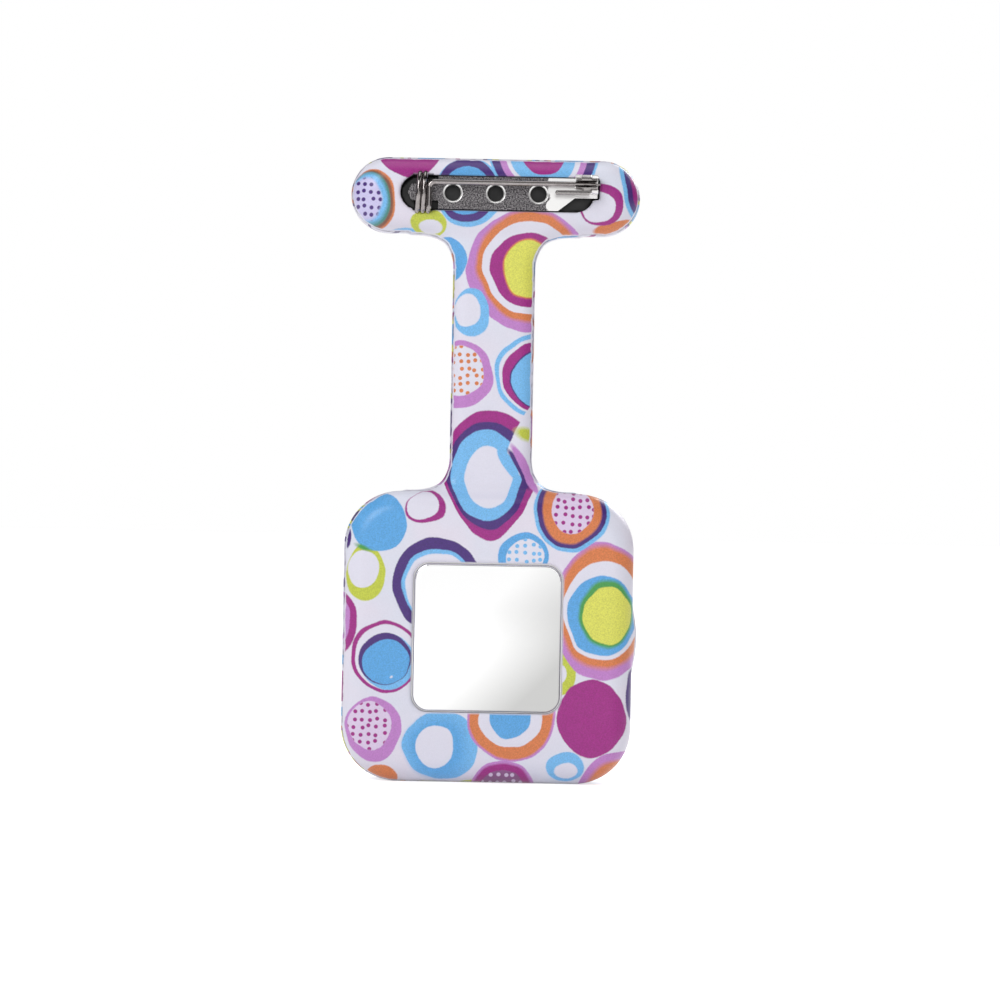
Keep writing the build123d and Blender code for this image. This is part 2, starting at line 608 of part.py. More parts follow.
def fifth_wheel():
    wheel = spoked(meshed(36, FIFTH_STAGE_MODULE, direction(FIFTH_AT, ROTOR_AT), FIFTH_AT), 1.5, 0.7, FIFTH_AT)
    pinion = slab(toothed(6, FOURTH_STAGE_MODULE, direction(FIFTH_AT, (0, 0)), FIFTH_AT), 6.55, 7.0)
    return slab(wheel, 7.0, 7.2) + pinion + arbor(FIFTH_AT)


def rotor():
    """Magnet disc of the stepping motor with its pinion."""
    magnet = disc(0.95, 5.8, 6.5, ROTOR_AT)
    pinion = slab(toothed(6, FIFTH_STAGE_MODULE, direction(ROTOR_AT, FIFTH_AT), ROTOR_AT), 6.5, 7.25)
    return magnet + pinion + arbor(ROTOR_AT)


def rectangle(x_low, x_high, z_low, z_high):
    return Pos((x_low + x_high) / 2, (z_low + z_high) / 2) * Rectangle(x_high - x_low, z_high - z_low)


def stator():
    """Soft-iron plate round the rotor, with two arms that carry the coil core."""
    outline = rectangle(2.2, 7.2, 2.1, 5.4) + rectangle(-6.6, 2.2, 4.4, 5.4)
    outline += rectangle(-6.6, -5.2, 4.4, 8.0) + rectangle(5.2, 7.2, 4.4, 8.0)
    outline -= Pos(*ROTOR_AT) * Circle(1.15)
    for at in COIL_SCREWS_AT:
        outline -= Pos(*at) * Circle(0.35)
    return slab(outline, 5.95, 6.3)


def coil_core():
    outline = rectangle(-6.6, 7.2, 6.9, 8.0)
    for at in COIL_SCREWS_AT:
        outline -= Pos(*at) * Circle(0.35)
    return slab(outline, 6.3, 6.8)


def coil_winding():
    body = block((-4.6, 4.6), (5.6, 7.5), (6.35, 8.55))
    body = fillet(body.edges().filter_by(Axis.X), 0.6)
    return body - block((-5, 5), (6.3, 6.8), (6.9, 8.0))


def screw(at, head_y, head_r, head_height, shank_r, shank_length):
    """Cheese-head screw driven from the back, with a slot."""
    body = disc(head_r, head_y, head_y + head_height, at)
    body -= slab(Pos(*at) * Rectangle(2 * head_r, 0.2), head_y + head_height / 2, head_y + head_height)
    return body + disc(shank_r, head_y - shank_length, head_y, at)


def bridge_screws():
    return [screw(at, BRIDGE_Y[1], 0.6, 0.25, 0.3, 1.2) for at in PILLARS_AT]


def coil_screws():
    return [screw(at, 6.8, 0.55, 0.3, 0.35, 1.9) for at in COIL_SCREWS_AT]


def clamp_screw():
    return screw(CLAMP_SCREW_AT, 8.4, 0.55, 0.25, 0.35, 3.4)


def circuit_board():
    return slab(Pos(-3.85, -6.95) * RectangleRounded(7.4, 3.3, 0.5), 7.1, 7.4)


def ic_chip():
    """Encapsulated timing circuit on the board."""
    return slab(Pos(-5.4, -6.95) * RectangleRounded(2.0, 2.0, 0.4), 7.4, 8.0)


def quartz_can():
    """Tuning-fork crystal in its metal can, under the board, with two leads."""
    can = shaft(0.7, -6.6, -1.4, 6.3, -7.6)
    leads = [shaft(0.1, -1.4, -0.6, 6.3, -7.6 + offset) for offset in (-0.25, 0.25)]
    return can + leads[0] + leads[1]


def battery():
    can = disc(BATTERY_R, BATTERY_Y[0] + 0.45, BATTERY_Y[1], BATTERY_AT)
    return can + disc(BATTERY_R - 0.45, BATTERY_Y[0], BATTERY_Y[0] + 0.45, BATTERY_AT)


def battery_insulator():
    return tube(BATTERY_R + 0.2, BATTERY_R + 0.03, MAIN_FLOOR_Y[1], 7.0, BATTERY_AT)


def battery_clamp():
    """Sprung contact strap over the battery, screwed down beside it."""
    strap_y = (BATTERY_Y[1] + 0.02, BATTERY_Y[1] + 0.25)
    x, z = BATTERY_AT
    strap = slab(rectangle(x - 3.0, CLAMP_SCREW_AT[0] + 0.6, z - 0.8, z + 0.8), *strap_y)
    foot = block((CLAMP_SCREW_AT[0] - 0.6, CLAMP_SCREW_AT[0] + 0.6), (MAIN_FLOOR_Y[1], strap_y[0]), (z - 0.8, z + 0.8))
    return strap + foot - disc(0.35, MAIN_FLOOR_Y[1], strap_y[1], CLAMP_SCREW_AT)


# ---------------------------------------------------------------- export

PIECES = [
    silicone_holder, brooch_plate, safety_drum, pin_wire,
    case_body, bezel, crystal, crystal_gasket, case_back, case_back_gasket, crown_tube,
    crown, crown_gasket, winding_stem, setting_lever, sliding_pinion,
    dial, dial_ring, hour_hand, minute_hand, second_hand,
    cannon_pinion, minute_wheel, hour_wheel, dial_washer, setting_wheel,
    main_plate, movement_holder, train_bridge,
    centre_wheel, third_wheel, fourth_wheel, fifth_wheel, rotor,
    stator, coil_core, coil_winding, bridge_screws, coil_screws, clamp_screw,
    circuit_board, ic_chip, quartz_can, battery, battery_insulator, battery_clamp,
]

os.makedirs("parts", exist_ok=True)
for piece in PIECES:
    shape = piece()
    if isinstance(shape, list):
        shape = Compound(children=shape)
    export_step(shape, f"parts/{piece.__name__}.step")
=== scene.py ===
"""The looks of the nurse's fob watch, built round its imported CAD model.

Lengths named here are millimetres in the part's own frame: +Z up as the watch hangs, the dial towards -Y,
the brooch and the case back towards +Y. Meshes are scaled to metres when they are made. In the materials, a
noise's scale is in features per millimetre, its detail in octaves and a bump's depth in millimetres. The
other plain numbers there are nearly all shares from 0 to 1.
"""

import itertools
from math import cos, pi, radians, sin

import bpy
import numpy as np
from mathutils import Matrix, Vector


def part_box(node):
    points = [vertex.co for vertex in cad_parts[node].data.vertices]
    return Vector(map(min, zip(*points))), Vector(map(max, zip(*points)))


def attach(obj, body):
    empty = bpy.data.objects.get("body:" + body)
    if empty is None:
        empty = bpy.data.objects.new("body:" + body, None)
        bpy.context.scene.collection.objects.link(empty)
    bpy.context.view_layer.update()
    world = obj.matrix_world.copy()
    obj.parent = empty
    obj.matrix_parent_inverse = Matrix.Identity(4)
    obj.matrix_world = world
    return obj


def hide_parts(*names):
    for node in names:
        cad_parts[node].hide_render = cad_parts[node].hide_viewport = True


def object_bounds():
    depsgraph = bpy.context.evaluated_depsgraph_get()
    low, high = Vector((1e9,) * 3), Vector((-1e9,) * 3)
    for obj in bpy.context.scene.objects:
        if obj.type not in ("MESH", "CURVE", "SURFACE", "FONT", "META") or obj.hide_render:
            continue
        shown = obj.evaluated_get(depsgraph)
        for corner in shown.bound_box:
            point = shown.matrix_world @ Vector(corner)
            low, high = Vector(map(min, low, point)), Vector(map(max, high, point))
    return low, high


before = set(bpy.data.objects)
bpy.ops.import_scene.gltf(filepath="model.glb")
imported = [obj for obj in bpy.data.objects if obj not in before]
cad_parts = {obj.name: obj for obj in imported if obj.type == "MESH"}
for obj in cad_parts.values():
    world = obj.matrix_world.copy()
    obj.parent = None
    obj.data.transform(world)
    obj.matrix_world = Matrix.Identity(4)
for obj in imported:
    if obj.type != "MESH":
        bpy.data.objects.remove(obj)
cad_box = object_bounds()
MM = 0.001


def box_mm(name):
    """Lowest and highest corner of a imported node."""
    low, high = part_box(name)
    return np.array(low) / MM, np.array(high) / MM


# ---- holder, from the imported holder's box ----
HOLDER_LOW, HOLDER_HIGH = box_mm("silicone_holder")
HEAD_HALF = HOLDER_HIGH[0]
HEAD_CORNER_R = 7.75
HEAD_Y = (HOLDER_LOW[1], HOLDER_HIGH[1])
HEAD_EDGE_R = 3.2
BAR_HALF_HEIGHT = 5.25
BAR_Z = HOLDER_HIGH[2] - BAR_HALF_HEIGHT
BAR_Y = (1.4, 9.4)
BAR_EDGE_R = 3.8
STRAP_HALF_WIDTH = 5.7
STRAP_Y = (3.1, 7.7)
STRAP_EDGE_R = 2.0
FLARE_R = 5.2
FLARE_SINK = 0.6
STRAP_ROOT = 3.0
STRAP_OVERRUN = 1.0
SHOULDER_R = 1.6
CROWN_SWELL = -HOLDER_LOW[0] - HEAD_HALF
CROWN_SWELL_HALF = (3.6, 5.5)
CROWN_SWELL_Y = 5.1
POCKET_HALF = 16.5
POCKET_CORNER_R = 6.0
POCKET_Y = (0.8, 9.2)
CROWN_Y = 5.6
CROWN_ROOM_R = 2.1
CROWN_ROOM_X = (-HEAD_HALF + 0.2, -POCKET_HALF + 1)
# half-width and corner radius of each opening, and how far its cut runs on into the pocket
FRONT_OPENING = (14.25, 4.0)
BACK_OPENING = (10.3, 2.3)
OPENING_OVERRUN = 1.0
LIP_R = 0.5

# ---- brooch recess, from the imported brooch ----
PLATE_BACK_Y = box_mm("brooch_plate")[1][1]
PLATE_Z = 61.15
SEWING_HOLE_R = 1.1
SEWING_HOLE_PITCH = 5.9
# where the plate's catch end takes a painted highlight, and how far that edge wanders
TAPER_X = (-7.0, -7.3)
TAPER_RAGGED = 0.8
NEEDLE_Y, NEEDLE_Z = 10.45, 62.5
SLOT_HALF_WIDTH = 2.35
SLOT_X = (-13.5, 13.1)
SLOT_FLOOR_Y = 7.2
SLOT_RIM_R = 0.25
LEDGE_X = (-8.1, 7.5)
LEDGE_Y = 8.8
LEDGE_WIDTH = 0.6
TROUGH_X = (8.55, 11.5)
TROUGH_Y = PLATE_BACK_Y - 0.2
TROUGH_HALF = (2.3, 3.15)
TROUGH_EDGE_R = 1.3
TROUGH_CORNER_R = 1.2
CATCH_X = (-14.3, -10.9)
CATCH_Z = (PLATE_Z - 0.6, PLATE_Z + SLOT_HALF_WIDTH)
CATCH_FLOOR_Y = 8.65
BARREL_ROOM_R = 1.5

# ---- holder mesh and print ----
CELL = 0.35
MESH_MARGIN = 1.0
# gradients are taken as no flatter than these, in space and in outline
FLATTEST = 0.5
FLATTEST_OUTLINE = 0.2
SETTLE_STEPS = 5
RELAX_AT_STEP = 3
HEAD_TO_STRAP_Z = (HEAD_HALF - 1.5, HEAD_HALF + 2)
STRAP_TO_BAR_Z = (BAR_Z - BAR_HALF_HEIGHT - 2, BAR_Z - BAR_HALF_HEIGHT + 1.5)
# how far in front of the back face the seam runs on head, strap and T-bar
SEAM_DEPTHS = (2.4, 0.75, 2.1)
HEAD_SEAM_LEAN = 0.9
# a rounded rim is this share of its radius shorter than its square corner
RIM_SAVING = 0.43
# signed distances over which the print, the recess and the recess's rim fade
PRINT_FADE = (-0.4, -0.12)
RECESS_FADE = (-0.2, -0.05)
RIM_FADE = (-0.3, -0.1)

# ---- case and dial ----
CASE_BACK_Y = box_mm("case_back")[1][1]
# depths below the case back's face where its painted rim shade starts and is full
CASE_BACK_RIM_SHADE = (0.14, 0.22)
# span of x + z over which the mirror's painted reflection greys from white
MIRROR_SHADE = (4.0, -13.5)
DIAL_FACE_Y = box_mm("dial")[0][1]
INK_THICKNESS = 0.03
NUMERAL_RING_R = 8.9
NUMERAL_SIZE = 3.0
INNER_RING_R = 5.9
INNER_SIZE = 1.35
TRACK_R = (11.2, 11.9)
STROKE_HALF_WIDTH = 0.07
MAIN_STROKE_HALF_WIDTH = 0.2
MAIN_STROKE_EXTRA = 0.35


# ---------------------------------------------------------------- distance functions

def rounded_rect(a, b, half_a, half_b, radius):
    """Signed distance to a rounded rectangle centred on the origin."""
    over_a, over_b = np.abs(a) - half_a + radius, np.abs(b) - half_b + radius
    outside = np.hypot(np.maximum(over_a, 0), np.maximum(over_b, 0))
    return outside + np.minimum(np.maximum(over_a, over_b), 0) - radius


def slab(outline, y, y_range, edge_r):
    """An outline's distance, given depth, with its front and back rims rounded."""
    half = (y_range[1] - y_range[0]) / 2
    over_outline, over_y = outline + edge_r, np.abs(y - y_range[0] - half) - half + edge_r
    outside = np.hypot(np.maximum(over_outline, 0), np.maximum(over_y, 0))
    return outside + np.minimum(np.maximum(over_outline, over_y), 0) - edge_r


def join(a, b, radius):
    """Union with a concave fillet."""
    fillet = np.hypot(np.maximum(radius - a, 0), np.maximum(radius - b, 0))
    return np.maximum(radius, np.minimum(a, b)) - fillet


def cut(a, b, radius):
    """a with b taken away, its rim rounded."""
    rim = np.hypot(np.maximum(radius + a, 0), np.maximum(radius - b, 0))
    return np.minimum(-radius, np.maximum(a, -b)) + rim


def between(value, limits):
    """Distance outside a range of one coordinate."""
    return np.maximum(limits[0] - value, value - limits[1])


def middle_and_half(limits):
    return (limits[0] + limits[1]) / 2, (limits[1] - limits[0]) / 2


def head_outline(x, z):
    return rounded_rect(x, z, HEAD_HALF, HEAD_HALF, HEAD_CORNER_R)


def bar_outline(x, z):
    return rounded_rect(x, z - BAR_Z, HEAD_HALF, BAR_HALF_HEIGHT, BAR_HALF_HEIGHT)


def strap_outline(x, z):
    """Parallel strap with flares into the head and the T-bar."""
    low, high = HEAD_HALF - FLARE_SINK, BAR_Z - BAR_HALF_HEIGHT + FLARE_SINK
    reach = between(z, (low - STRAP_OVERRUN, high + STRAP_OVERRUN))
    straight = np.maximum(np.abs(x) - STRAP_HALF_WIDTH, reach)
    flared = join(straight, head_outline(x, z) + FLARE_SINK, FLARE_R)
    flared = join(flared, bar_outline(x, z) + FLARE_SINK, FLARE_R)
    flared = np.maximum(flared, between(z, (low - STRAP_ROOT, high + STRAP_ROOT)))
    return np.maximum(flared, np.abs(x) - STRAP_HALF_WIDTH - FLARE_R)


def holder_outline(x, z):
    return np.minimum(np.minimum(head_outline(x, z), bar_outline(x, z)), strap_outline(x, z))


def crown_swelling(x, y, z):
    """How far the head's side stands out over the crown."""
    half_y, half_z = CROWN_SWELL_HALF
    spread = ((y - CROWN_SWELL_Y) / half_y) ** 2 + (z / half_z) ** 2
    return CROWN_SWELL * np.clip(1 - spread, 0, 1) ** 1.5 * (x < 0)


def outer_skin(x, y, z):
    """The holder before anything is cut out of it."""
    head = slab(head_outline(x, z), y, HEAD_Y, HEAD_EDGE_R) - crown_swelling(x, y, z)
    bar = slab(bar_outline(x, z), y, BAR_Y, BAR_EDGE_R)
    strap = slab(strap_outline(x, z), y, STRAP_Y, STRAP_EDGE_R)
    return join(np.minimum(head, bar), strap, SHOULDER_R)


def brooch_recess(x, y, z):
    """Slot behind the plate with two ledges, room for the coil, and room for the catch."""
    middle, half = middle_and_half(SLOT_X)
    slot = rounded_rect(x - middle, z - PLATE_Z, half, SLOT_HALF_WIDTH, SLOT_HALF_WIDTH)
    slot = np.maximum(slot, SLOT_FLOOR_Y - y)
    ledge = np.maximum(between(x, LEDGE_X), SLOT_HALF_WIDTH - LEDGE_WIDTH - np.abs(z - PLATE_Z))
    slot = np.maximum(slot, -np.maximum(ledge, y - LEDGE_Y))
    middle, half = middle_and_half(TROUGH_X)
    coil_room = rounded_rect(y - TROUGH_Y, z - PLATE_Z, *TROUGH_HALF, TROUGH_EDGE_R)
    trough_outline = rounded_rect(x - middle, z - PLATE_Z, half, TROUGH_HALF[1], TROUGH_CORNER_R)
    coil_room = np.maximum(coil_room, trough_outline)
    barrel_room = np.maximum(np.hypot(y - NEEDLE_Y, z - NEEDLE_Z) - BARREL_ROOM_R, between(x, CATCH_X))
    catch_room = np.maximum(between(x, CATCH_X), between(z, CATCH_Z))
    catch_room = np.maximum(catch_room, CATCH_FLOOR_Y - y)
    return np.minimum(np.minimum(slot, coil_room), np.minimum(barrel_room, catch_room))


def holder(x, y, z):
    """The finished holder: skin, openings, pocket, room for the crown, and brooch recess."""
    back, front = (rounded_rect(x, z, half, half, r) for half, r in (BACK_OPENING, FRONT_OPENING))
    body = cut(outer_skin(x, y, z), np.maximum(back, POCKET_Y[1] - OPENING_OVERRUN - y), LIP_R)
    body = cut(body, np.maximum(front, y - POCKET_Y[0] - OPENING_OVERRUN), LIP_R)
    pocket = rounded_rect(x, z, POCKET_HALF, POCKET_HALF, POCKET_CORNER_R)
    body = np.maximum(body, -np.maximum(pocket, between(y, POCKET_Y)))
    crown_room = np.maximum(np.hypot(y - CROWN_Y, z) - CROWN_ROOM_R, between(x, CROWN_ROOM_X))
    body = np.maximum(body, -crown_room)
    return cut(body, brooch_recess(x, y, z), SLOT_RIM_R)


def slope(distance, points, step=0.02):
    """Gradient of a distance function at each point."""
    columns = []
    for axis in range(points.shape[1]):
        ahead, behind = points.copy(), points.copy()
        ahead[:, axis] += step
        behind[:, axis] -= step
        columns.append((distance(*ahead.T) - distance(*behind.T)) / (2 * step))
    return np.stack(columns, 1)


# ---------------------------------------------------------------- mesh of a distance function

def surface_net(distance, low, high, cell):
    """Quads on the zero level: one point in each grid cell that the surface crosses, moved onto it."""
    axes = [np.arange(start, stop + cell, cell) for start, stop in zip(low, high)]
    inside = distance(*np.meshgrid(*axes, indexing="ij")) < 0
    corners = sum(
        inside[tuple(slice(c, c - 1 or None) for c in corner)].astype(np.int8)
        for corner in itertools.product((0, 1), repeat=3)
    )
    crossed = (corners > 0) & (corners < 8)
    number = np.full(crossed.shape, -1)
    number[crossed] = np.arange(crossed.sum())
    points = np.array(low) + (np.argwhere(crossed) + 0.5) * cell

    quads = []
    for axis in range(3):
        turned = np.moveaxis(inside, (axis, (axis + 1) % 3, (axis + 2) % 3), (0, 1, 2))
        cells = np.moveaxis(number, (axis, (axis + 1) % 3, (axis + 2) % 3), (0, 1, 2))
        leaves = turned[:-1, 1:-1, 1:-1] & ~turned[1:, 1:-1, 1:-1]
        enters = ~turned[:-1, 1:-1, 1:-1] & turned[1:, 1:-1, 1:-1]
        ring = (cells[:, :-1, :-1], cells[:, 1:, :-1], cells[:, 1:, 1:], cells[:, :-1, 1:])
        quads.append(np.stack([c[leaves] for c in ring], 1))
        quads.append(np.stack([c[enters] for c in ring[::-1]], 1))
    quads = np.concatenate(quads)

    for step in range(SETTLE_STEPS):
        if step == RELAX_AT_STEP:
            points = relaxed(points, quads)
        points = onto_surface(distance, points, cell)
    return points, quads


def onto_surface(distance, points, cell):
    """Each point moved to the zero level along the gradient, by a cell at most."""
    away = slope(distance, points)
    away /= np.maximum((away ** 2).sum(1, keepdims=True), FLATTEST ** 2)
    move = distance(*points.T)[:, None] * away
    return points - np.clip(move, -cell, cell)


def relaxed(points, quads, share=0.5):
    """Each point moved part of the way to the middle of its neighbours."""
    total, count = np.zeros_like(points), np.zeros(len(points))
    for a, b in ((0, 1), (1, 2), (2, 3), (3, 0)):
        for near, far in ((a, b), (b, a)):
            np.add.at(total, quads[:, near], points[quads[:, far]])
            np.add.at(count, quads[:, near], 1)
    return points + share * (total / np.maximum(count, 1)[:, None] - points)


def mesh_piece(name, points, faces, material, smooth=True):
    """Object from points in millimetres."""
    mesh = bpy.data.meshes.new(name)
    mesh.from_pydata((np.asarray(points) * MM).tolist(), [], [list(map(int, f)) for f in faces])
    mesh.polygons.foreach_set("use_smooth", [smooth] * len(mesh.polygons))
    mesh.materials.append(material)
    piece = bpy.data.objects.new(name, mesh)
    bpy.context.scene.collection.objects.link(piece)
    return piece


# ---------------------------------------------------------------- where the print lies on the holder

def ramp(value, start, stop):
    """Smooth step from 0 to 1."""
    t = np.clip((value - start) / (stop - start), 0, 1)
    return t * t * (3 - 2 * t)


def along_holder(z, head, strap, bar):
    """A value that changes from the head's to the strap's to the T-bar's with height."""
    to_strap = ramp(z, *HEAD_TO_STRAP_Z)
    to_bar = ramp(z, *STRAP_TO_BAR_Z)
    return head + (strap - head) * to_strap + (bar - strap) * to_bar


def wrapped(points, depth, edge_r):
    """Front print coordinates: flat over the face, then carried on down the sides instead of smearing."""
    flat = points[:, [0, 2]]
    outward = slope(holder_outline, flat)
    outward /= np.maximum(np.linalg.norm(outward, axis=1, keepdims=True), FLATTEST_OUTLINE)
    return flat + outward * np.maximum(depth - RIM_SAVING * edge_r, 0)[:, None]


def store(piece, name, values):
    """Keep a value or a vector for each point, for the shader to read."""
    kind, field = ("FLOAT", "value") if values.ndim == 1 else ("FLOAT_VECTOR", "vector")
    attribute = piece.data.attributes.new(name, kind, "POINT")
    attribute.data.foreach_set(field, values.astype(np.float32).ravel())


def add_print(piece, points):
    """Store where each print lies, how far a point is past the seam, and what is bare or in the recess."""
    x, y, z = points.T
    skin = outer_skin(x, y, z)
    printed = ramp(skin, *PRINT_FADE)
    recess = ramp(-brooch_recess(x, y, z), *RECESS_FADE) * (1 - ramp(skin, *RIM_FADE))
    past_seam = along_holder(z, HEAD_Y[1], STRAP_Y[1], BAR_Y[1]) - y - along_holder(z, *SEAM_DEPTHS)
    past_seam += along_holder(z, HEAD_SEAM_LEAN, 0, 0) * x / HEAD_HALF
    depth = y - along_holder(z, HEAD_Y[0], STRAP_Y[0], BAR_Y[0])
    front = wrapped(points, depth, along_holder(z, HEAD_EDGE_R, STRAP_EDGE_R, BAR_EDGE_R))
    store(piece, "print_back", np.column_stack((x, z, printed)))
    store(piece, "print_front", np.column_stack((-front[:, 0], front[:, 1], recess)))
    store(piece, "past_seam", past_seam)


# ---------------------------------------------------------------- shader nodes

def srgb(red, green, blue):
    """A colour as seen on screen, 0 to 255, as the linear value that a shader takes."""
    shares = [value / 255 for value in (red, green, blue)]
    return tuple(s / 12.92 if s < 0.04045 else ((s + 0.055) / 1.055) ** 2.4 for s in shares) + (1.0,)


def node(tree, kind, inputs=(), **settings):
    """Add a node, set its properties, and give each listed input a value or a link."""
    made = tree.nodes.new(kind)
    for name, value in settings.items():
        setattr(made, name, value)
    connect(tree, made, dict(inputs))
    return made


def connect(tree, made, inputs):
    for key, value in inputs.items():
        if isinstance(value, bpy.types.NodeSocket):
            tree.links.new(value, made.inputs[key])
        else:
            made.inputs[key].default_value = value


def calc(tree, operation, *values):
    return node(tree, "ShaderNodeMath", enumerate(values), operation=operation).outputs[0]


def calc_vector(tree, operation, *values, output=0):
    return node(tree, "ShaderNodeVectorMath", enumerate(values), operation=operation).outputs[output]


def mix(tree, share, below, above):
    """Colour between two others; a Mix node's sockets 6 and 7 in and 2 out are its colours."""
    return node(tree, "ShaderNodeMix", {0: share, 6: below, 7: above}, data_type="RGBA").outputs[2]


def remap(tree, value, from_low, from_high, to_low=0.0, to_high=1.0, smooth=False):
    inputs = {0: value, 1: from_low, 2: from_high, 3: to_low, 4: to_high}
    kind = "SMOOTHSTEP" if smooth else "LINEAR"
    return node(tree, "ShaderNodeMapRange", inputs, interpolation_type=kind).outputs[0]


def noise(tree, where, scale, detail=2.0, roughness=0.5, output="Fac"):
    """Noise with its scale in features per millimetre."""
    inputs = {"Vector": where, "Scale": scale, "Detail": detail, "Roughness": roughness}
    return node(tree, "ShaderNodeTexNoise", inputs).outputs[output]


def scaled(tree, vector, factor):
    return node(tree, "ShaderNodeVectorMath", {0: vector, "Scale": factor}, operation="SCALE").outputs[0]


def place_mm(tree):
    """The shaded point in millimetres in the part's frame."""
    return scaled(tree, node(tree, "ShaderNodeTexCoord").outputs["Object"], 1 / MM)


def darker(colour, share):
    return tuple(value * share for value in colour[:3]) + (1.0,)


def bump(tree, height, depth_mm, strength=1.0):
    """Normal from a height of 0 to 1 that stands for depth_mm."""
    inputs = {"Height": height, "Distance": depth_mm * MM, "Strength": strength}
    return node(tree, "ShaderNodeBump", inputs).outputs[0]


def new_material(name):
    """Empty material: its tree and the Principled shader that it shows."""
    material = bpy.data.materials.new(name)
    material.use_nodes = True
    tree = material.node_tree
    tree.nodes.clear()
    output = node(tree, "ShaderNodeOutputMaterial")
    shader = node(tree, "ShaderNodeBsdfPrincipled")
    tree.links.new(shader.outputs[0], output.inputs["Surface"])
    return material, tree, shader


def feed(tree, shader, **inputs):
    """Set or link a shader's inputs, with underscores for the spaces in their names."""
    connect(tree, shader, {key.replace("_", " "): value for key, value in inputs.items()})


# ---------------------------------------------------------------- the print

INKS = {
    "white": srgb(230, 228, 242),
    "pale_pink": srgb(226, 208, 236),
    "lavender": srgb(208, 202, 240),
    "magenta": srgb(162, 34, 134),
    "purple": srgb(72, 40, 122),
    "violet": srgb(142, 88, 140),
    "blue": srgb(94, 170, 230),
    "light_blue": srgb(122, 190, 242),
    "orchid": srgb(196, 132, 204),
    "orange": srgb(220, 128, 76),
    "brown": srgb(132, 84, 66),
    "lime": srgb(198, 207, 72),
    "yellow": srgb(224, 224, 98),
    "green": srgb(74, 158, 80),
    "teal": srgb(74, 138, 130),
}
PRINT_EDGE = 0.07
BLEND = 0.28
DOT_PITCH = 1.05
DOT_R = 0.28
DOT_BLUR = 0.05
RING_PITCH = 9.5
RING_BLUR = 0.008
SEAM_WIDTH = 0.3
SEAM_BLUR = 0.04
SEAM_WANDER = 0.12
# painted shade along the rims just past the seam: full this far past it, gone that far past it, and its
# purple-grey colour
PAINTED_RIM_SHADE_FADE = (0.36, 1.1)
PAINTED_RIM_SHADE = srgb(78, 64, 96)
# the print's slow wobble and its bleeding edges: features per millimetre, and reach
WOBBLE = (0.22, 1.1)
BLEED = (3.5, 0.12)


def oval(ink, x, z, half_x, half_z, pinch=0.0, soft=PRINT_EDGE, turn=0.0):
    """One printed oval; a pinch above 0 narrows its upper half, below 0 its lower half."""
    centre, half = (x, z), (half_x, half_z)
    return {"ink": ink, "centre": centre, "half": half, "pinch": pinch, "soft": soft, "turn": turn}


def dots(ink):
    """Dots over the oval before them."""
    return {"dots": ink}


BAR_MOTIFS = [
    oval("magenta", 11.8, 66.6, 4.3, 3.5, -0.2),
    oval("light_blue", 3.7, 61.3, 4.7, 4.7), oval("purple", 3.9, 61.6, 4.15, 4.4),
    oval("blue", 3.9, 61.5, 3.1, 3.4),
    oval("light_blue", -6.7, 67.0, 7.6, 7.5), oval("purple", -6.7, 67.0, 7.3, 7.1),
    oval("orchid", -6.7, 67.0, 6.2, 6.2), oval("white", -6.7, 67.0, 5.3, 5.5),
    oval("light_blue", -6.6, 67.0, 4.6, 5.0), oval("magenta", -6.6, 67.0, 3.0, 3.3),
    oval("light_blue", 12.9, 55.4, 2.4, 0.9),
    oval("lime", 9.15, 56.9, 2.55, 1.8), oval("white", 8.9, 56.5, 1.65, 0.9),
    oval("orange", -16.7, 56.9, 3.1, 0.8, turn=12),
    oval("light_blue", -20.1, 64.5, 3.0, 6.9), oval("purple", -20.2, 64.5, 2.5, 6.2),
    oval("magenta", -20.4, 64.5, 1.9, 5.5), oval("pale_pink", -20.6, 63.8, 1.1, 3.9), dots("purple"),
    oval("orange", 16.9, 60.1, 3.2, 4.25), oval("brown", 17.05, 60.1, 3.05, 4.05, soft=0.15),
    oval("teal", 17.3, 60.2, 2.85, 3.75, soft=0.12), oval("light_blue", 17.5, 60.35, 2.6, 3.4, soft=0.25),
    oval("lavender", 17.9, 60.2, 2.15, 2.95, soft=0.2), dots("purple"),
]
STRAP_MOTIFS = [
    oval("blue", 6.7, 51.9, 2.8, 3.2),
    oval("orchid", -4.8, 50.6, 8.75, 8.4, -0.15), oval("orange", -4.8, 51.2, 7.3, 7.6, -0.15, soft=BLEND),
    oval("white", -4.8, 51.1, 6.45, 6.4, -0.12), oval("magenta", -4.8, 50.9, 5.4, 5.15, -0.1),
    oval("orange", -4.8, 51.1, 3.6, 4.15, soft=0.12), oval("yellow", -4.8, 51.1, 3.4, 3.95),
    oval("magenta", -14.5, 59.9, 3.0, 2.9), oval("white", -14.1, 59.6, 2.2, 2.2),
    oval("light_blue", 3.1, 44.7, 2.45, 3.35), oval("white", 3.6, 45.0, 1.75, 2.25),
    oval("orchid", 4.3, 36.15, 4.4, 4.65), oval("white", 4.35, 36.6, 3.0, 3.5), dots("orange"),
    oval("light_blue", -6.1, 36.2, 5.7, 5.8), oval("white", -6.2, 36.1, 5.2, 5.2),
    oval("magenta", -6.2, 36.0, 4.75, 4.8), oval("purple", -6.2, 35.7, 3.6, 3.95),
    oval("light_blue", -6.2, 35.7, 3.4, 3.75),
    oval("magenta", 8.7, 17.9, 2.7, 2.2), oval("white", 9.1, 18.1, 2.05, 1.85),
    oval("magenta", 0.0, 22.4, 6.9, 8.9, -0.5), oval("purple", 0.25, 22.3, 5.95, 7.4, -0.3),
    oval("light_blue", 0.5, 22.3, 5.0, 6.3, -0.15), oval("white", 0.2, 22.0, 3.3, 4.4, -0.1),
]
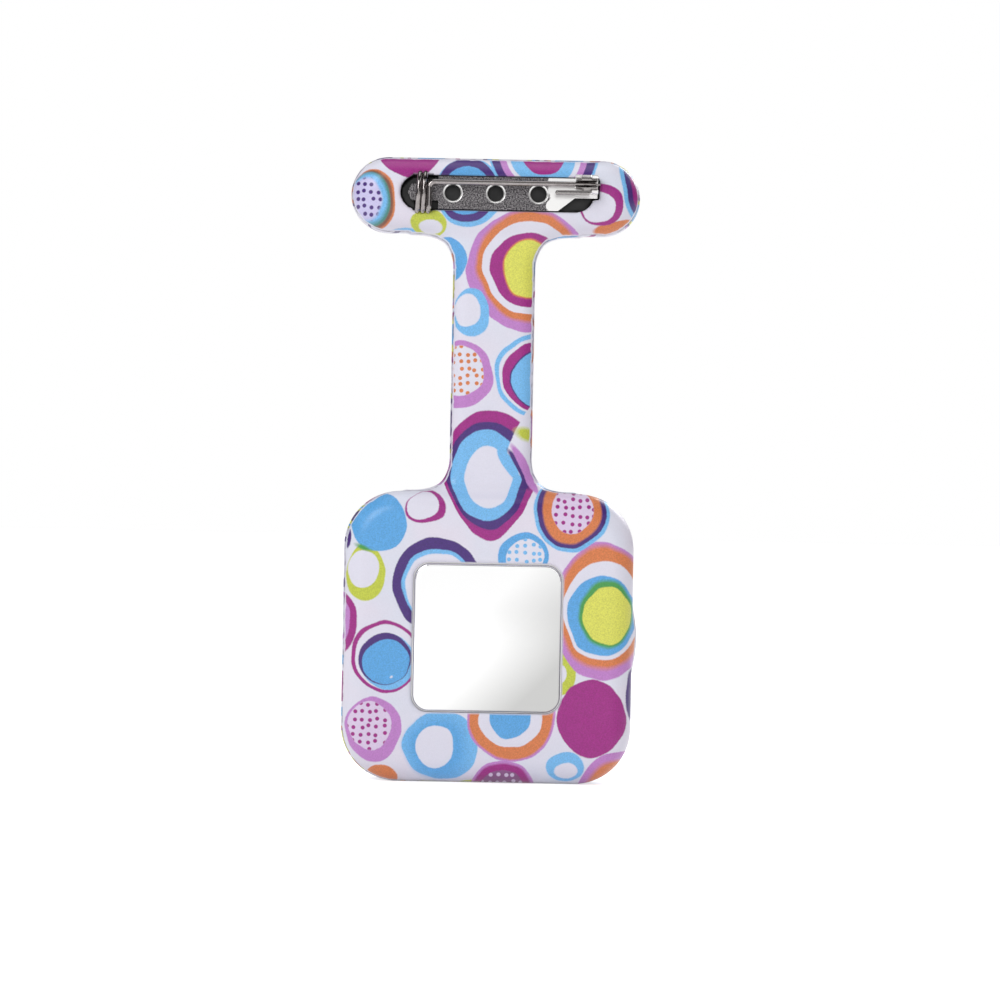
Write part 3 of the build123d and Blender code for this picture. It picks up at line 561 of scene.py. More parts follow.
# where the printed film overlaps itself low on the strap
OVERLAP_MOTIFS = [
    oval("white", -6.5, 28.2, 3.0, 6.5, turn=-30), oval("lime", -5.2, 27.9, 1.95, 0.8, soft=0.25, turn=-22),
    oval("light_blue", -2.5, 24.0, 0.75, 2.7, turn=28), oval("purple", -4.0, 23.4, 0.45, 3.1, turn=29),
    oval("orchid", -4.85, 23.3, 0.6, 3.9, turn=29),
]
HEAD_MOTIFS = [
    oval("lime", 16.9, 8.7, 2.8, 3.95, 0.3), oval("white", 17.2, 9.1, 2.15, 2.6),
    oval("blue", 15.0, 15.6, 3.95, 4.05), oval("green", 17.1, 12.1, 1.1, 0.3, soft=0.15, turn=-25),
    oval("purple", 19.5, 13.5, 0.6, 1.4),
    oval("magenta", 21.1, 1.8, 3.2, 4.6), oval("orchid", 21.1, 1.8, 2.2, 3.7),
    oval("purple", 21.1, 1.8, 1.5, 2.8),
    oval("purple", 6.9, 7.3, 6.1, 6.5), oval("light_blue", 6.9, 7.2, 4.9, 5.1),
    oval("white", 6.9, 7.0, 4.5, 4.7),
    oval("magenta", 13.9, -2.6, 4.8, 4.9), oval("white", 13.8, -2.6, 4.3, 4.4),
    oval("light_blue", 13.5, -3.3, 3.7, 3.75),
    oval("purple", 13.9, -2.9, 3.65, 3.5), oval("blue", 13.75, -3.3, 3.2, 3.0),
    oval("orchid", 15.4, -12.7, 3.8, 4.55), oval("pale_pink", 15.85, -12.2, 2.9, 3.4), dots("magenta"),
    oval("orange", 14.2, -19.3, 2.2, 1.8),
    oval("light_blue", 6.2, -14.8, 5.15, 4.7), oval("blue", 6.6, -14.9, 4.1, 4.0, soft=1.0),
    oval("white", 6.9, -15.0, 2.6, 2.95),
    oval("lime", 1.3, -20.1, 2.8, 0.6),
    oval("orchid", -3.5, -10.7, 6.1, 6.2), oval("orange", -3.5, -10.7, 5.8, 5.9, soft=0.15),
    oval("white", -3.5, -10.7, 4.4, 4.2), oval("blue", -3.4, -10.7, 2.8, 3.0),
    oval("orchid", -2.5, -20.3, 4.4, 3.5), oval("magenta", -2.5, -20.3, 4.0, 3.1, soft=0.15),
    oval("violet", -2.5, -20.6, 3.1, 2.5), dots("pale_pink"),
    oval("light_blue", -11.0, -17.5, 2.6, 2.0), oval("white", -11.1, -18.0, 1.55, 1.1),
    oval("orchid", -19.5, -20.7, 6.6, 5.5), oval("orange", -19.5, -20.7, 5.4, 4.4, soft=BLEND),
    oval("lime", -9.8, -4.7, 2.6, 3.0), oval("white", -9.8, -4.8, 1.3, 1.5),
    oval("magenta", -14.5, -10.8, 4.7, 5.45),
    oval("purple", -20.1, -7.4, 0.9, 3.7),
    oval("orchid", -15.8, 4.0, 6.95, 9.4), oval("orange", -15.8, 4.5, 6.4, 8.4, soft=BLEND),
    oval("white", -15.7, 4.1, 5.35, 6.9), oval("blue", -15.7, 3.4, 4.7, 5.6),
    oval("green", -16.3, 3.7, 3.65, 4.7, soft=0.2), oval("yellow", -16.4, 3.5, 3.25, 4.05),
    oval("light_blue", -11.3, 17.5, 5.3, 5.35), oval("purple", -11.3, 17.7, 4.9, 5.0),
    oval("orange", -11.3, 17.7, 4.2, 4.4, soft=0.15),
    oval("pale_pink", -11.4, 17.8, 2.9, 3.2), dots("magenta"),
    oval("blue", -4.8, 11.2, 3.5, 3.5), oval("white", -5.0, 11.2, 2.6, 2.6), dots("light_blue"),
]
SPECKS = [oval("white", 3.9, 16.2, 0.14, 0.14), oval("white", 13.0, -5.4, 0.14, 0.14)]
MOTIFS = BAR_MOTIFS + STRAP_MOTIFS + OVERLAP_MOTIFS + HEAD_MOTIFS + SPECKS

# the front's ring field, from the outer band to the core: each cell draws one ink from each row, and a band
# reaches so far from the cell's middle but stays so far inside the cell's border, both in pitches
RING_INKS = [
    ("magenta", "light_blue", "orange", "purple", "lime", "orchid"),
    ("orchid", "purple", "magenta", "blue", "white", "orange"),
    ("white", "white", "white", "yellow", "white", "white"),
    ("blue", "magenta", "yellow", "white", "purple", "light_blue"),
]
RING_BANDS = [(0.45, 0.03), (0.38, 0.08), (0.31, 0.13), (0.22, 0.19)]


def oval_group(name, pinches):
    """Node group that lays one printed oval over a colour, with one half narrowed if it pinches."""
    group = bpy.data.node_groups.new(name, "ShaderNodeTree")
    for socket, kind in (("Where", "Vector"), ("Below", "Color"), ("Ink", "Color"), ("Stretch", "Vector"),
                         ("Shift", "Vector"), ("Soft", "Float"), ("Pinch", "Float")):
        group.interface.new_socket(socket, in_out="INPUT", socket_type=f"NodeSocket{kind}")
    for socket, kind in (("Colour", "Color"), ("Cover", "Float")):
        group.interface.new_socket(socket, in_out="OUTPUT", socket_type=f"NodeSocket{kind}")
    given = node(group, "NodeGroupInput").outputs
    around = calc_vector(group, "MULTIPLY_ADD", given["Where"], given["Stretch"], given["Shift"])
    if pinches:
        above = calc_vector(group, "DOT_PRODUCT", around, (0, 1, 0), output=1)
        narrowing = calc(group, "MAXIMUM", calc(group, "MULTIPLY", above, given["Pinch"]), 0.0)
        aside = calc_vector(group, "MULTIPLY", around, (1, 0, 0))
        around = calc_vector(group, "ADD", around, scaled(group, aside, narrowing))
    reach = calc_vector(group, "LENGTH", around, output=1)
    high = calc(group, "ADD", 1.0, given["Soft"])
    low = calc(group, "SUBTRACT", 1.0, given["Soft"])
    cover = remap(group, reach, low, high, 1.0, 0.0)
    colour = mix(group, cover, given["Below"], given["Ink"])
    node(group, "NodeGroupOutput", {"Colour": colour, "Cover": cover})
    return group


def dot_field(tree, where):
    """Cover of a field of small round dots."""
    place = {"Vector": where, "Scale": 1 / DOT_PITCH, "Randomness": 0.4}
    reach = node(tree, "ShaderNodeTexVoronoi", place, voronoi_dimensions="2D").outputs["Distance"]
    return remap(tree, reach, (DOT_R - DOT_BLUR) / DOT_PITCH, (DOT_R + DOT_BLUR) / DOT_PITCH, 1.0, 0.0)


def turned(tree, where, motif):
    """Print coordinates turned about a motif's middle."""
    about = {"Vector": where, "Center": (*motif["centre"], 0), "Angle": radians(motif["turn"])}
    return node(tree, "ShaderNodeVectorRotate", about, rotation_type="Z_AXIS").outputs[0]


def oval_inputs(motif, where, below):
    """What an oval's node group is given; around the oval, its coordinates run from -1 to 1."""
    (x, z), (half_x, half_z) = motif["centre"], motif["half"]
    return {
        "Where": where,
        "Below": below,
        "Ink": INKS[motif["ink"]],
        "Stretch": (1 / half_x, 1 / half_z, 0),
        "Shift": (-x / half_x, -z / half_z, 0),
        "Soft": motif["soft"] / min(half_x, half_z),
        "Pinch": motif["pinch"],
    }


def printed_motifs(tree, flat, where, colour):
    """The back print over a base colour; where is flat with uneven edges."""
    groups = {False: oval_group("printed_oval", False), True: oval_group("printed_egg", True)}
    dotted = dot_field(tree, flat)
    for motif in MOTIFS:
        if "dots" in motif:
            colour = mix(tree, calc(tree, "MULTIPLY", dotted, cover), colour, INKS[motif["dots"]])
            continue
        place = turned(tree, where, motif) if motif["turn"] else where
        laid = tree.nodes.new("ShaderNodeGroup")
        laid.node_tree = groups[motif["pinch"] != 0]
        connect(tree, laid, oval_inputs(motif, place, colour))
        colour, cover = laid.outputs["Colour"], laid.outputs["Cover"]
    return colour


def ink_wheel(tree, chance, inks):
    """One of several inks, picked by a chance from 0 to 1."""
    wheel = node(tree, "ShaderNodeValToRGB", {0: chance})
    wheel.color_ramp.interpolation = "CONSTANT"
    stops = wheel.color_ramp.elements
    for number, ink in enumerate(inks):
        stop = stops[0] if number == 0 else stops.new(number / len(inks))
        stop.color = INKS[ink]
    stops.remove(stops[-1])
    return wheel.outputs[0]


def ring_field(tree, where):
    """Endless print of ring motifs for the front and the sides, one set in each Voronoi cell."""
    place = {"Vector": where, "Scale": 1 / RING_PITCH, "Randomness": 0.42}
    cells = node(tree, "ShaderNodeTexVoronoi", place, voronoi_dimensions="2D").outputs
    edges = node(tree, "ShaderNodeTexVoronoi", place, voronoi_dimensions="2D", feature="DISTANCE_TO_EDGE")
    gap = edges.outputs[0]
    chances = node(tree, "ShaderNodeSeparateColor", {0: cells["Color"]}).outputs
    colour = INKS["white"]
    for band, (inks, (reach, border)) in enumerate(zip(RING_INKS, RING_BANDS)):
        ink = ink_wheel(tree, chances[band % 3], inks)
        near = remap(tree, cells["Distance"], reach - RING_BLUR, reach + RING_BLUR, 1.0, 0.0)
        clear = remap(tree, gap, border - RING_BLUR, border + RING_BLUR)
        colour = mix(tree, calc(tree, "MULTIPLY", near, clear), colour, ink)
    return colour


def uneven(tree, flat):
    """Print coordinates with a slow wobble and slightly bleeding edges."""
    where = flat
    for scale, reach in (WOBBLE, BLEED):
        shift = noise(tree, flat, scale, 1, output="Color")
        shift = calc_vector(tree, "SUBTRACT", shift, (0.5, 0.5, 0.5))
        where = calc_vector(tree, "ADD", where, scaled(tree, shift, reach))
    return calc_vector(tree, "MULTIPLY", where, (1, 1, 0))


def stored(tree, name, output="Vector"):
    return node(tree, "ShaderNodeAttribute", attribute_name=name).outputs[output]


def both_prints(tree, at, back, front, bare):
    """The back's print up to the seam and the front's past it, with a bare line between and painted shade
    along the rims just past it.
    """
    wander = remap(tree, noise(tree, at, 0.9, 3), 0.3, 0.7, -SEAM_WANDER, SEAM_WANDER)
    past_seam = calc(tree, "ADD", stored(tree, "past_seam", "Fac"), wander)
    flat_back = calc_vector(tree, "MULTIPLY", back, (1, 1, 0))
    flat_front = calc_vector(tree, "MULTIPLY", front, (1, 1, 0))
    on_back = printed_motifs(tree, flat_back, uneven(tree, flat_back), bare)
    on_front = ring_field(tree, uneven(tree, flat_front))
    crossed = remap(tree, past_seam, SEAM_WIDTH, SEAM_WIDTH + SEAM_BLUR)
    colour = mix(tree, crossed, on_back, on_front)
    reached = remap(tree, past_seam, 0.0, SEAM_BLUR)
    seam = calc(tree, "MULTIPLY", reached, calc(tree, "SUBTRACT", 1.0, crossed))
    colour = mix(tree, calc(tree, "MULTIPLY", seam, 0.85), colour, bare)
    # painted shade: a patchy purple-grey strip just past the seam darkens the rims
    near = remap(tree, past_seam, *PAINTED_RIM_SHADE_FADE, 1.0, 0.0)
    rim_shade = remap(tree, noise(tree, at, 0.7, 3), 0.4, 0.6, 0.2, 0.75)
    rim_shade = calc(tree, "MULTIPLY", calc(tree, "MULTIPLY", crossed, near), rim_shade)
    return mix(tree, rim_shade, colour, PAINTED_RIM_SHADE), seam


def grainy(tree, at, colour):
    """The colour with a fine grain, stronger in the inks than on white."""
    grain = remap(tree, noise(tree, at, 5.5, 3, 0.7), 0.35, 0.65, -0.5, 0.5)
    ink_share = node(tree, "ShaderNodeSeparateColor", {0: colour}, mode="HSV").outputs[1]
    value = calc(tree, "MULTIPLY_ADD", calc(tree, "MULTIPLY", grain, ink_share), 0.34, 1.0)
    return node(tree, "ShaderNodeHueSaturation", {"Color": colour, "Value": value}).outputs[0]


def printed_silicone():
    """Satin white silicone, printed front and back, with a bare seam and a dark recess behind the brooch."""
    material, tree, shader = new_material("printed_silicone")
    at = place_mm(tree)
    back, front = stored(tree, "print_back"), stored(tree, "print_front")
    printed = calc_vector(tree, "DOT_PRODUCT", back, (0, 0, 1), output=1)
    recess = calc_vector(tree, "DOT_PRODUCT", front, (0, 0, 1), output=1)
    tint = remap(tree, noise(tree, at, 0.12, 2), 0.35, 0.65)
    bare = mix(tree, tint, srgb(226, 228, 242), srgb(232, 226, 240))
    colour, seam = both_prints(tree, at, back, front, bare)
    colour = mix(tree, printed, bare, grainy(tree, at, colour))
    colour = mix(tree, recess, colour, srgb(22, 22, 24))

    groove = calc(tree, "MULTIPLY", seam, printed)
    height = calc(tree, "MULTIPLY_ADD", groove, -0.8, noise(tree, at, 2.2, 3, 0.6))
    gloss = remap(tree, noise(tree, at, 0.5, 3), 0.3, 0.7, 0.3, 0.42)
    feed(tree, shader, Base_Color=colour, Roughness=gloss, Normal=bump(tree, height, 0.02),
         Subsurface_Weight=0.05, Subsurface_Radius=(1.0, 0.8, 0.8), Subsurface_Scale=0.5 * MM,
         Coat_Weight=0.12, Coat_Roughness=0.25)
    return material


# ---------------------------------------------------------------- metals, plastics, glass

SPOT_COLOUR = (0.02, 0.02, 0.022, 1)
METAL_DENTS = 0.01
BRUSH_STRETCH = (0.15, 9, 9)
# the painted highlight round a sewing hole fades over this much beyond the hole's radius
HOLE_RIM_GLINT = (0.3, 0.2)


def metal(name, colour, roughness, speckle=0.0, speckle_scale=6.0, brushed=0.0):
    """Metal with grain: speckle darkens spots, brushed adds fine lines along X."""
    material, tree, shader = new_material(name)
    at = place_mm(tree)
    stains = remap(tree, noise(tree, at, 0.7, 4, 0.6), 0.35, 0.7, 0.0, 0.25)
    base = mix(tree, stains, colour, darker(colour, 0.7))
    spots = remap(tree, noise(tree, at, speckle_scale, 3, 0.75), 0.42, 0.58)
    base = mix(tree, calc(tree, "MULTIPLY", spots, speckle), base, SPOT_COLOUR)
    lines = noise(tree, calc_vector(tree, "MULTIPLY", at, BRUSH_STRETCH), 1.2, 3)
    scratches = remap(tree, lines, 0.35, 0.65, 0, brushed)
    worn = remap(tree, noise(tree, at, 1.5, 4), 0.3, 0.7, roughness * 0.8, roughness * 1.3)
    dents = noise(tree, at, speckle_scale * 0.6, 3)
    height = calc(tree, "ADD", dents, calc(tree, "MULTIPLY", lines, brushed * 2))
    feed(tree, shader, Base_Color=base, Metallic=1.0, Roughness=calc(tree, "ADD", worn, scratches),
         Normal=bump(tree, height, METAL_DENTS))
    return material


def plastic(name, colour, roughness=0.4, variation=0.15, grain_scale=4.0, grain_depth=0.01, coat=0.0):
    """Moulded or lacquered surface with soft mottling and a fine grain."""
    material, tree, shader = new_material(name)
    at = place_mm(tree)
    mottle = calc(tree, "MULTIPLY", noise(tree, at, 0.5, 4, 0.6), variation)
    base = mix(tree, mottle, colour, darker(colour, 0.6))
    rough = remap(tree, noise(tree, at, 1.3, 3), 0.3, 0.7, roughness * 0.85, roughness * 1.15)
    normal = bump(tree, noise(tree, at, grain_scale, 3), grain_depth)
    feed(tree, shader, Base_Color=base, Roughness=rough, Normal=normal, Coat_Weight=coat)
    return material


def around_holes(tree, parts):
    """1 on a narrow ring round each of the plate's three sewing holes, where a highlight is painted."""
    aside = calc(tree, "ABSOLUTE", parts[0])
    from_outer = calc(tree, "ABSOLUTE", calc(tree, "SUBTRACT", aside, SEWING_HOLE_PITCH))
    above = calc(tree, "SUBTRACT", parts[2], PLATE_Z)
    from_hole = node(tree, "ShaderNodeCombineXYZ", {0: calc(tree, "MINIMUM", aside, from_outer), 1: above})
    reach = calc_vector(tree, "LENGTH", from_hole.outputs[0], output=1)
    return remap(tree, reach, *(SEWING_HOLE_R + width for width in HOLE_RIM_GLINT))


def nickel_plate():
    """The brooch plate: tumbled and speckled; its taper, catch and hole rims are smoother, and a painted
    highlight turns their base colour near-white.
    """
    material, tree, shader = new_material("tumbled_nickel")
    at = place_mm(tree)
    parts = node(tree, "ShaderNodeSeparateXYZ", {0: at}).outputs
    ragged = remap(tree, noise(tree, at, 0.8), 0.25, 0.75, -TAPER_RAGGED, TAPER_RAGGED)
    taper = remap(tree, calc(tree, "ADD", parts[0], ragged), *TAPER_X, smooth=True)
    # painted highlight: the taper and the hole rims take a near-white base colour, less metallic and less
    # rough
    smooth_and_glint = calc(tree, "MAXIMUM", taper, around_holes(tree, parts))
    grain = noise(tree, at, 5.0, 4, 0.8)
    grey = mix(tree, remap(tree, grain, 0.42, 0.66), srgb(40, 38, 42), srgb(176, 172, 174))
    rough = remap(tree, smooth_and_glint, 0.0, 1.0, 0.32, 0.16)
    relief = remap(tree, smooth_and_glint, 0.0, 1.0, 1.0, 0.15)
    metallic = remap(tree, smooth_and_glint, 0.0, 1.0, 1.0, 0.55)
    feed(tree, shader, Base_Color=mix(tree, smooth_and_glint, grey, srgb(250, 249, 248)), Metallic=metallic,
         Roughness=rough, Normal=bump(tree, grain, 0.05, relief))
    return material


def mirror_panel():
    """Case back: mirror polish with faint wipe marks; a painted reflection greys its colour towards one
    lower corner, and painted shade greys its rim.
    """
    material, tree, shader = new_material("mirror_panel")
    at = place_mm(tree)
    parts = node(tree, "ShaderNodeSeparateXYZ", {0: at}).outputs
    # painted reflection: the base colour greys from white towards the lower corner, along x + z
    shade = remap(tree, calc(tree, "ADD", parts[0], parts[2]), *MIRROR_SHADE)
    base = mix(tree, shade, srgb(254, 254, 254), srgb(184, 184, 183))
    # painted shade: the rounded rim greyed in the base colour
    rim = remap(tree, parts[1], *(CASE_BACK_Y - depth for depth in CASE_BACK_RIM_SHADE))
    base = mix(tree, rim, base, srgb(206, 205, 207))
    wipes = noise(tree, at, 0.8, 4)
    rough = remap(tree, wipes, 0.35, 0.7, 0.02, 0.04)
    feed(tree, shader, Base_Color=base, Metallic=1.0, Roughness=rough, Normal=bump(tree, wipes, 0.0001))
    return material


def mineral_glass():
    """Clear pane that lets light through to the dial."""
    material, tree, shader = new_material("mineral_glass")
    at = place_mm(tree)
    smears = remap(tree, noise(tree, at, 0.4, 4), 0.4, 0.7, 0.005, 0.03)
    feed(tree, shader, Base_Color=(0.97, 0.985, 0.98, 1), Roughness=smears, Transmission_Weight=1.0, IOR=1.5)
    for_lamps = node(tree, "ShaderNodeBsdfTransparent", {"Color": (0.93, 0.94, 0.94, 1)})
    shadow = node(tree, "ShaderNodeLightPath").outputs["Is Shadow Ray"]
    both = node(tree, "ShaderNodeMixShader", {0: shadow, 1: shader.outputs[0], 2: for_lamps.outputs[0]})
    output = next(n for n in tree.nodes if n.type == "OUTPUT_MATERIAL")
    tree.links.new(both.outputs[0], output.inputs["Surface"])
    return material


def copper_winding():
    """Enamelled wire in tight turns across the coil, with painted shade between the turns and painted sheen
    on them.
    """
    material, tree, shader = new_material("copper_winding")
    inputs = {"Vector": place_mm(tree), "Scale": 1.9, "Distortion": 0.15}
    waves = node(tree, "ShaderNodeTexWave", inputs, wave_type="BANDS", bands_direction="X")
    turns = waves.outputs["Fac"]
    # painted shade and sheen: the base colour runs from dark copper between the turns to light copper on
    # them
    base = mix(tree, turns, srgb(120, 52, 26), srgb(212, 122, 72))
    feed(tree, shader, Base_Color=base, Metallic=0.8, Roughness=0.28, Normal=bump(tree, turns, 0.05),
         Coat_Weight=0.6)
    return material


def circuit_green():
    """Solder mask with gilt tracks."""
    material, tree, shader = new_material("circuit_green")
    parts = node(tree, "ShaderNodeSeparateXYZ", {0: place_mm(tree)}).outputs
    flat = node(tree, "ShaderNodeCombineXYZ", {0: parts[0], 1: parts[2]}).outputs[0]
    bricks = node(tree, "ShaderNodeTexBrick", {"Vector": flat, "Scale": 0.9, "Mortar Size": 0.05})
    tracks = bricks.outputs["Fac"]
    base = mix(tree, tracks, srgb(24, 92, 52), srgb(190, 156, 84))
    feed(tree, shader, Base_Color=base, Metallic=tracks, Roughness=0.35, Normal=bump(tree, tracks, 0.03))
    return material


def build_materials():
    """Material for each name; the nodes that wear it are listed in FINISHES."""
    return {
        "silicone": printed_silicone(),
        "plate": nickel_plate(),
        "wire": metal("nickel_wire", srgb(164, 158, 157), 0.06, speckle=0.25, brushed=0.03),
        "catch": metal("nickel_catch", srgb(158, 154, 153), 0.06, speckle=0.3),
        "case": metal("polished_case", srgb(214, 216, 219), 0.14, speckle=0.05, brushed=0.05),
        "mirror": mirror_panel(),
        "glass": mineral_glass(),
        "rubber": plastic("black_rubber", srgb(30, 30, 31), 0.6, grain_depth=0.02),
        "dial": plastic("dial_lacquer", srgb(240, 240, 237), 0.35, variation=0.04, grain_scale=8,
                        grain_depth=0.003),
        "ink": plastic("dial_ink", srgb(24, 24, 26), 0.45, grain_scale=10),
        "red_ink": plastic("red_ink", srgb(190, 28, 34), 0.45, grain_scale=10),
        "black_hand": plastic("black_hand", srgb(12, 12, 14), 0.35, coat=0.1, grain_depth=0.002),
        "red_hand": plastic("red_hand", srgb(204, 24, 30), 0.25, coat=0.5, grain_depth=0.002),
        "brass": metal("gilt_brass", srgb(222, 188, 110), 0.2, speckle=0.08, brushed=0.1),
        "magnet": metal("sintered_magnet", srgb(104, 104, 108), 0.45, speckle=0.5, speckle_scale=9),
        "steel": metal("plain_steel", srgb(196, 196, 198), 0.24, speckle=0.06, brushed=0.14),
        "copper": copper_winding(),
        "white_plastic": plastic("white_plastic", srgb(226, 226, 221), 0.5),
        "board": circuit_green(),
        "resin": plastic("black_resin", srgb(20, 20, 22), 0.2, coat=0.4),
    }


FINISHES = {
    "plate": ["brooch_plate"],
    "catch": ["safety_drum"],
    "wire": ["pin_wire"],
    "case": ["case_body", "bezel", "crown", "crown_tube"],
    "mirror": ["case_back"],
    "glass": ["crystal"],
    "rubber": ["crystal_gasket", "case_back_gasket", "crown_gasket"],
    "dial": ["dial"],
    "white_plastic": ["dial_ring", "movement_holder", "battery_insulator"],
    "black_hand": ["hour_hand", "minute_hand"],
    "red_hand": ["second_hand"],
    "brass": ["cannon_pinion", "minute_wheel", "hour_wheel", "dial_washer", "main_plate", "centre_wheel",
              "third_wheel", "fourth_wheel", "fifth_wheel"],
    "magnet": ["rotor"],
    "steel": ["winding_stem", "setting_lever", "sliding_pinion", "setting_wheel", "train_bridge", "stator",
              "coil_core", "bridge_screws", "coil_screws", "clamp_screw", "quartz_can", "battery",
              "battery_clamp"],
    "copper": ["coil_winding"],
    "board": ["circuit_board"],
    "resin": ["ic_chip"],
}


def dress_nodes(materials):
    """Give every carried-over CAD node its finish."""
    for finish, names in FINISHES.items():
        for name in names:
            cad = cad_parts[name]
            if not cad.material_slots:
                cad.data.materials.append(None)
            for slot in cad.material_slots:
                slot.material = materials[finish]


EDGE_ANGLE = radians(40)
WELD_GAP = 0.002


def soften_edges(name, width):
    """Small bevel on a stamped or turned CAD piece, so that its edges catch the light."""
    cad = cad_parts[name]
    weld = cad.modifiers.new("weld", "WELD")
    weld.merge_threshold = WELD_GAP * MM
    bevel = cad.modifiers.new("bevel", "BEVEL")
    bevel.width = width * MM
    bevel.segments = 2
    bevel.limit_method = "ANGLE"
    bevel.angle_limit = EDGE_ANGLE


# ---------------------------------------------------------------- holder and dial print

def silicone_holder(material):
    """The holder in place of its CAD solid, with a finer skin and its print."""
    points, quads = surface_net(holder, HOLDER_LOW - MESH_MARGIN, HOLDER_HIGH + MESH_MARGIN, CELL)
    piece = mesh_piece("silicone_skin", points, quads, material)
    add_print(piece, points)
    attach(piece, "watch")
    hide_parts("silicone_holder")


def clock_point(hours, radius):
    """Place on the dial, with 12 at -Z and 3 at -X."""
    angle = 2 * pi * hours / 12
    return -radius * sin(angle), -radius * cos(angle)


def text_shape(text, size, x, z):
    """Mesh data of a number standing on the dial, its top towards 12 o'clock."""
    curve = bpy.data.curves.new("numeral", "FONT")
    curve.body = text
    curve.size = size
    curve.align_x, curve.align_y = "CENTER", "CENTER"
    curve.extrude = INK_THICKNESS / 2
    carrier = bpy.data.objects.new("numeral", curve)
    bpy.context.scene.collection.objects.link(carrier)
    shape = bpy.data.meshes.new_from_object(carrier)
    bpy.data.objects.remove(carrier)
    middle_y = DIAL_FACE_Y - INK_THICKNESS / 2
    shape.transform(Matrix(((-1, 0, 0, x), (0, 0, -1, middle_y), (0, -1, 0, z), (0, 0, 0, 1))))
    return shape


def merged(name, shapes, material):
    """One piece from several shapes, which are used up."""
    points, faces = [], []
    for shape in shapes:
        start = len(points)
        points += [tuple(v.co) for v in shape.vertices]
        faces += [[start + i for i in polygon.vertices] for polygon in shape.polygons]
        bpy.data.meshes.remove(shape)
    return mesh_piece(name, points, faces, material, smooth=False)


def dial_numerals(name, first, ring_r, size, material):
    """Ring of twelve numbers counting up from the first."""
    shapes = [text_shape(str(first + hour), size, *clock_point(hour + 1, ring_r)) for hour in range(12)]
    piece = merged(name, shapes, material)
    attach(piece, "watch")


def stroke(minute):
    """Corners of one minute stroke, front face first."""
    main = minute % 5 == 0
    inner = TRACK_R[0] - (MAIN_STROKE_EXTRA if main else 0)
    along = Vector(clock_point(minute / 5, 1))
    across = Vector((-along.y, along.x)) * (MAIN_STROKE_HALF_WIDTH if main else STROKE_HALF_WIDTH)
    near, far = along * inner, along * TRACK_R[1]
    corners = (near - across, far - across, far + across, near + across)
    return [(c.x, y, c.y) for y in (DIAL_FACE_Y, DIAL_FACE_Y - INK_THICKNESS) for c in corners]


def minute_track(material):
    """Sixty printed strokes round the dial, every fifth one longer and wider."""
    box_faces = ((0, 3, 2, 1), (4, 5, 6, 7), (0, 1, 5, 4), (1, 2, 6, 5), (2, 3, 7, 6), (3, 0, 4, 7))
    points, faces = [], []
    for minute in range(60):
        faces += [[len(points) + corner for corner in face] for face in box_faces]
        points += stroke(minute)
    piece = mesh_piece("minute_track", points, faces, material, smooth=False)
    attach(piece, "watch")


# ---------------------------------------------------------------- studio

LIGHTS_AIM = Vector((0, 0, 20)) * MM
CAMERA_AIM = Vector((-1.4, 5.0, 19.0)) * MM
CAMERA_DISTANCE = 470 * MM
FRAME_WIDTH = 138.8 * MM
CAMERA_ROLL = radians(1.1)
SENSOR = 36.0
AMBIENT = 0.62
KEY_POWER = 0.95
TOP_POWER = 0.14
FLOOR_GLOW = 0.6
FLOOR_HALF = 3000.0


def studio_world():
    """White surroundings; reflections see instead a bright band, dark walls beside it, and a ceiling light.

    The plain numbers are limits of the direction's parts, and the strengths there.
    """
    world = bpy.data.worlds.new("studio")
    bpy.context.scene.world = world
    world.cycles.sampling_method = "NONE"
    world.use_nodes = True
    tree = world.node_tree
    tree.nodes.clear()
    direction = node(tree, "ShaderNodeTexCoord").outputs["Generated"]
    parts = node(tree, "ShaderNodeSeparateXYZ", {0: direction}).outputs
    beside = remap(tree, calc(tree, "ABSOLUTE", parts[0]), 0.3, 0.55, 1.05, 0.1, smooth=True)
    level = remap(tree, parts[2], 0.17, 0.27, 1.0, 0.07, smooth=True)
    below = remap(tree, parts[2], -0.72, -0.45, 0.12, 1.0, smooth=True)
    lamp = remap(tree, parts[2], 0.6, 0.66, 0.9, 0.0)
    ceiling = calc(tree, "MULTIPLY", remap(tree, parts[2], 0.45, 0.5), lamp)
    overhead = remap(tree, parts[2], 0.88, 0.95, 0.0, 0.9)
    walls = calc(tree, "MULTIPLY", calc(tree, "MULTIPLY", beside, level), below)
    reflected = calc(tree, "MAXIMUM", walls, calc(tree, "MAXIMUM", ceiling, overhead))
    rays = node(tree, "ShaderNodeLightPath").outputs
    strength = node(tree, "ShaderNodeMix", {0: rays["Is Glossy Ray"], 2: AMBIENT, 3: reflected}).outputs[0]
    strength = node(tree, "ShaderNodeMix", {0: rays["Is Camera Ray"], 2: strength, 3: 1.0}).outputs[0]
    background = node(tree, "ShaderNodeBackground", {"Color": (1, 1, 1, 1), "Strength": strength})
    output = node(tree, "ShaderNodeOutputWorld")
    tree.links.new(background.outputs[0], output.inputs["Surface"])


def softbox(name, place, size, power):
    """Square area light aimed at the watch."""
    light = bpy.data.lights.new(name, "AREA")
    light.size = size * MM
    light.energy = power
    lamp = bpy.data.objects.new(name, light)
    bpy.context.scene.collection.objects.link(lamp)
    lamp.location = Vector(place) * MM
    lamp.rotation_euler = (LIGHTS_AIM - lamp.location).to_track_quat("-Z", "Y").to_euler()


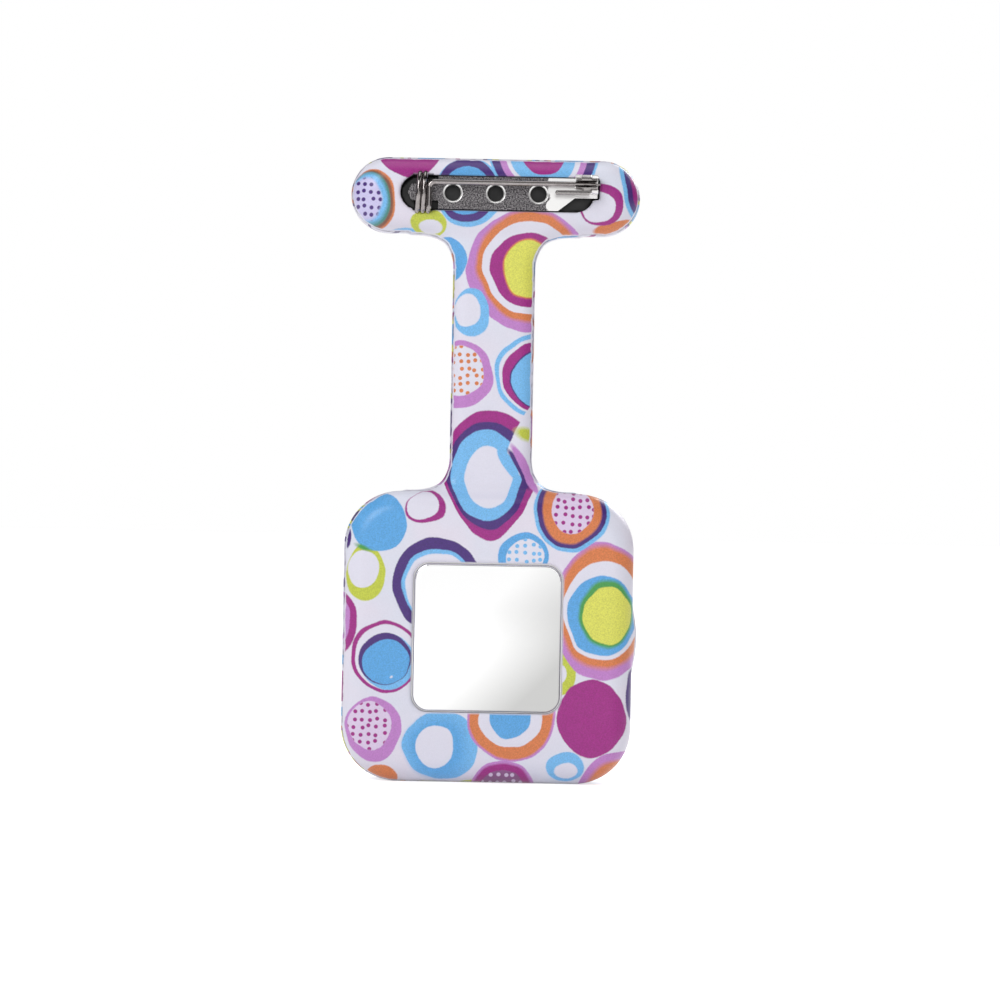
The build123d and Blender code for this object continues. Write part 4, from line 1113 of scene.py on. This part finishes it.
def floor():
    """Pale paper; where it is seen, it glows a little, so that it meets the white backdrop."""
    material, tree, shader = new_material("floor_paper")
    rays = node(tree, "ShaderNodeLightPath").outputs
    seen = calc(tree, "MAXIMUM", rays["Is Camera Ray"], calc(tree, "MULTIPLY", rays["Is Glossy Ray"], 0.75))
    feed(tree, shader, Base_Color=(0.9, 0.9, 0.9, 1), Roughness=0.85, Specular_IOR_Level=0.1,
         Normal=bump(tree, noise(tree, place_mm(tree), 0.5, 3), 0.02), Emission_Color=(1, 1, 1, 1),
         Emission_Strength=calc(tree, "MULTIPLY", seen, FLOOR_GLOW))
    half, z = FLOOR_HALF, cad_box[0].z / MM
    corners = [(-half, -half, z), (half, -half, z), (half, half, z), (-half, half, z)]
    mesh_piece("floor", corners, [(0, 1, 2, 3)], material)


def camera():
    """Long lens square to the back, at the height of the strap's root."""
    lens = bpy.data.cameras.new("camera")
    lens.sensor_width = SENSOR
    lens.lens = SENSOR * CAMERA_DISTANCE / FRAME_WIDTH
    lens.clip_start, lens.clip_end = 0.01, 20
    eye = bpy.data.objects.new("camera", lens)
    bpy.context.scene.collection.objects.link(eye)
    eye.location = CAMERA_AIM + Vector((0, CAMERA_DISTANCE, 0))
    look = (CAMERA_AIM - eye.location).to_track_quat("-Z", "Y").to_matrix()
    eye.rotation_euler = (look @ Matrix.Rotation(CAMERA_ROLL, 3, "Z")).to_euler()
    bpy.context.scene.camera = eye


def studio():
    studio_world()
    softbox("key_back", place=(260, 420, 300), size=260, power=KEY_POWER)
    softbox("key_front", place=(-260, -420, 300), size=260, power=KEY_POWER)
    softbox("top", place=(0, 0, 480), size=320, power=TOP_POWER)
    floor()
    camera()
    bpy.context.scene.view_settings.view_transform = "Standard"


# ---------------------------------------------------------------- build

materials = build_materials()
dress_nodes(materials)
soften_edges("brooch_plate", width=0.13)
soften_edges("safety_drum", width=0.05)
silicone_holder(materials["silicone"])
dial_numerals("hour_numerals", 1, NUMERAL_RING_R, NUMERAL_SIZE, materials["ink"])
dial_numerals("afternoon_numerals", 13, INNER_RING_R, INNER_SIZE, materials["red_ink"])
minute_track(materials["ink"])
studio()
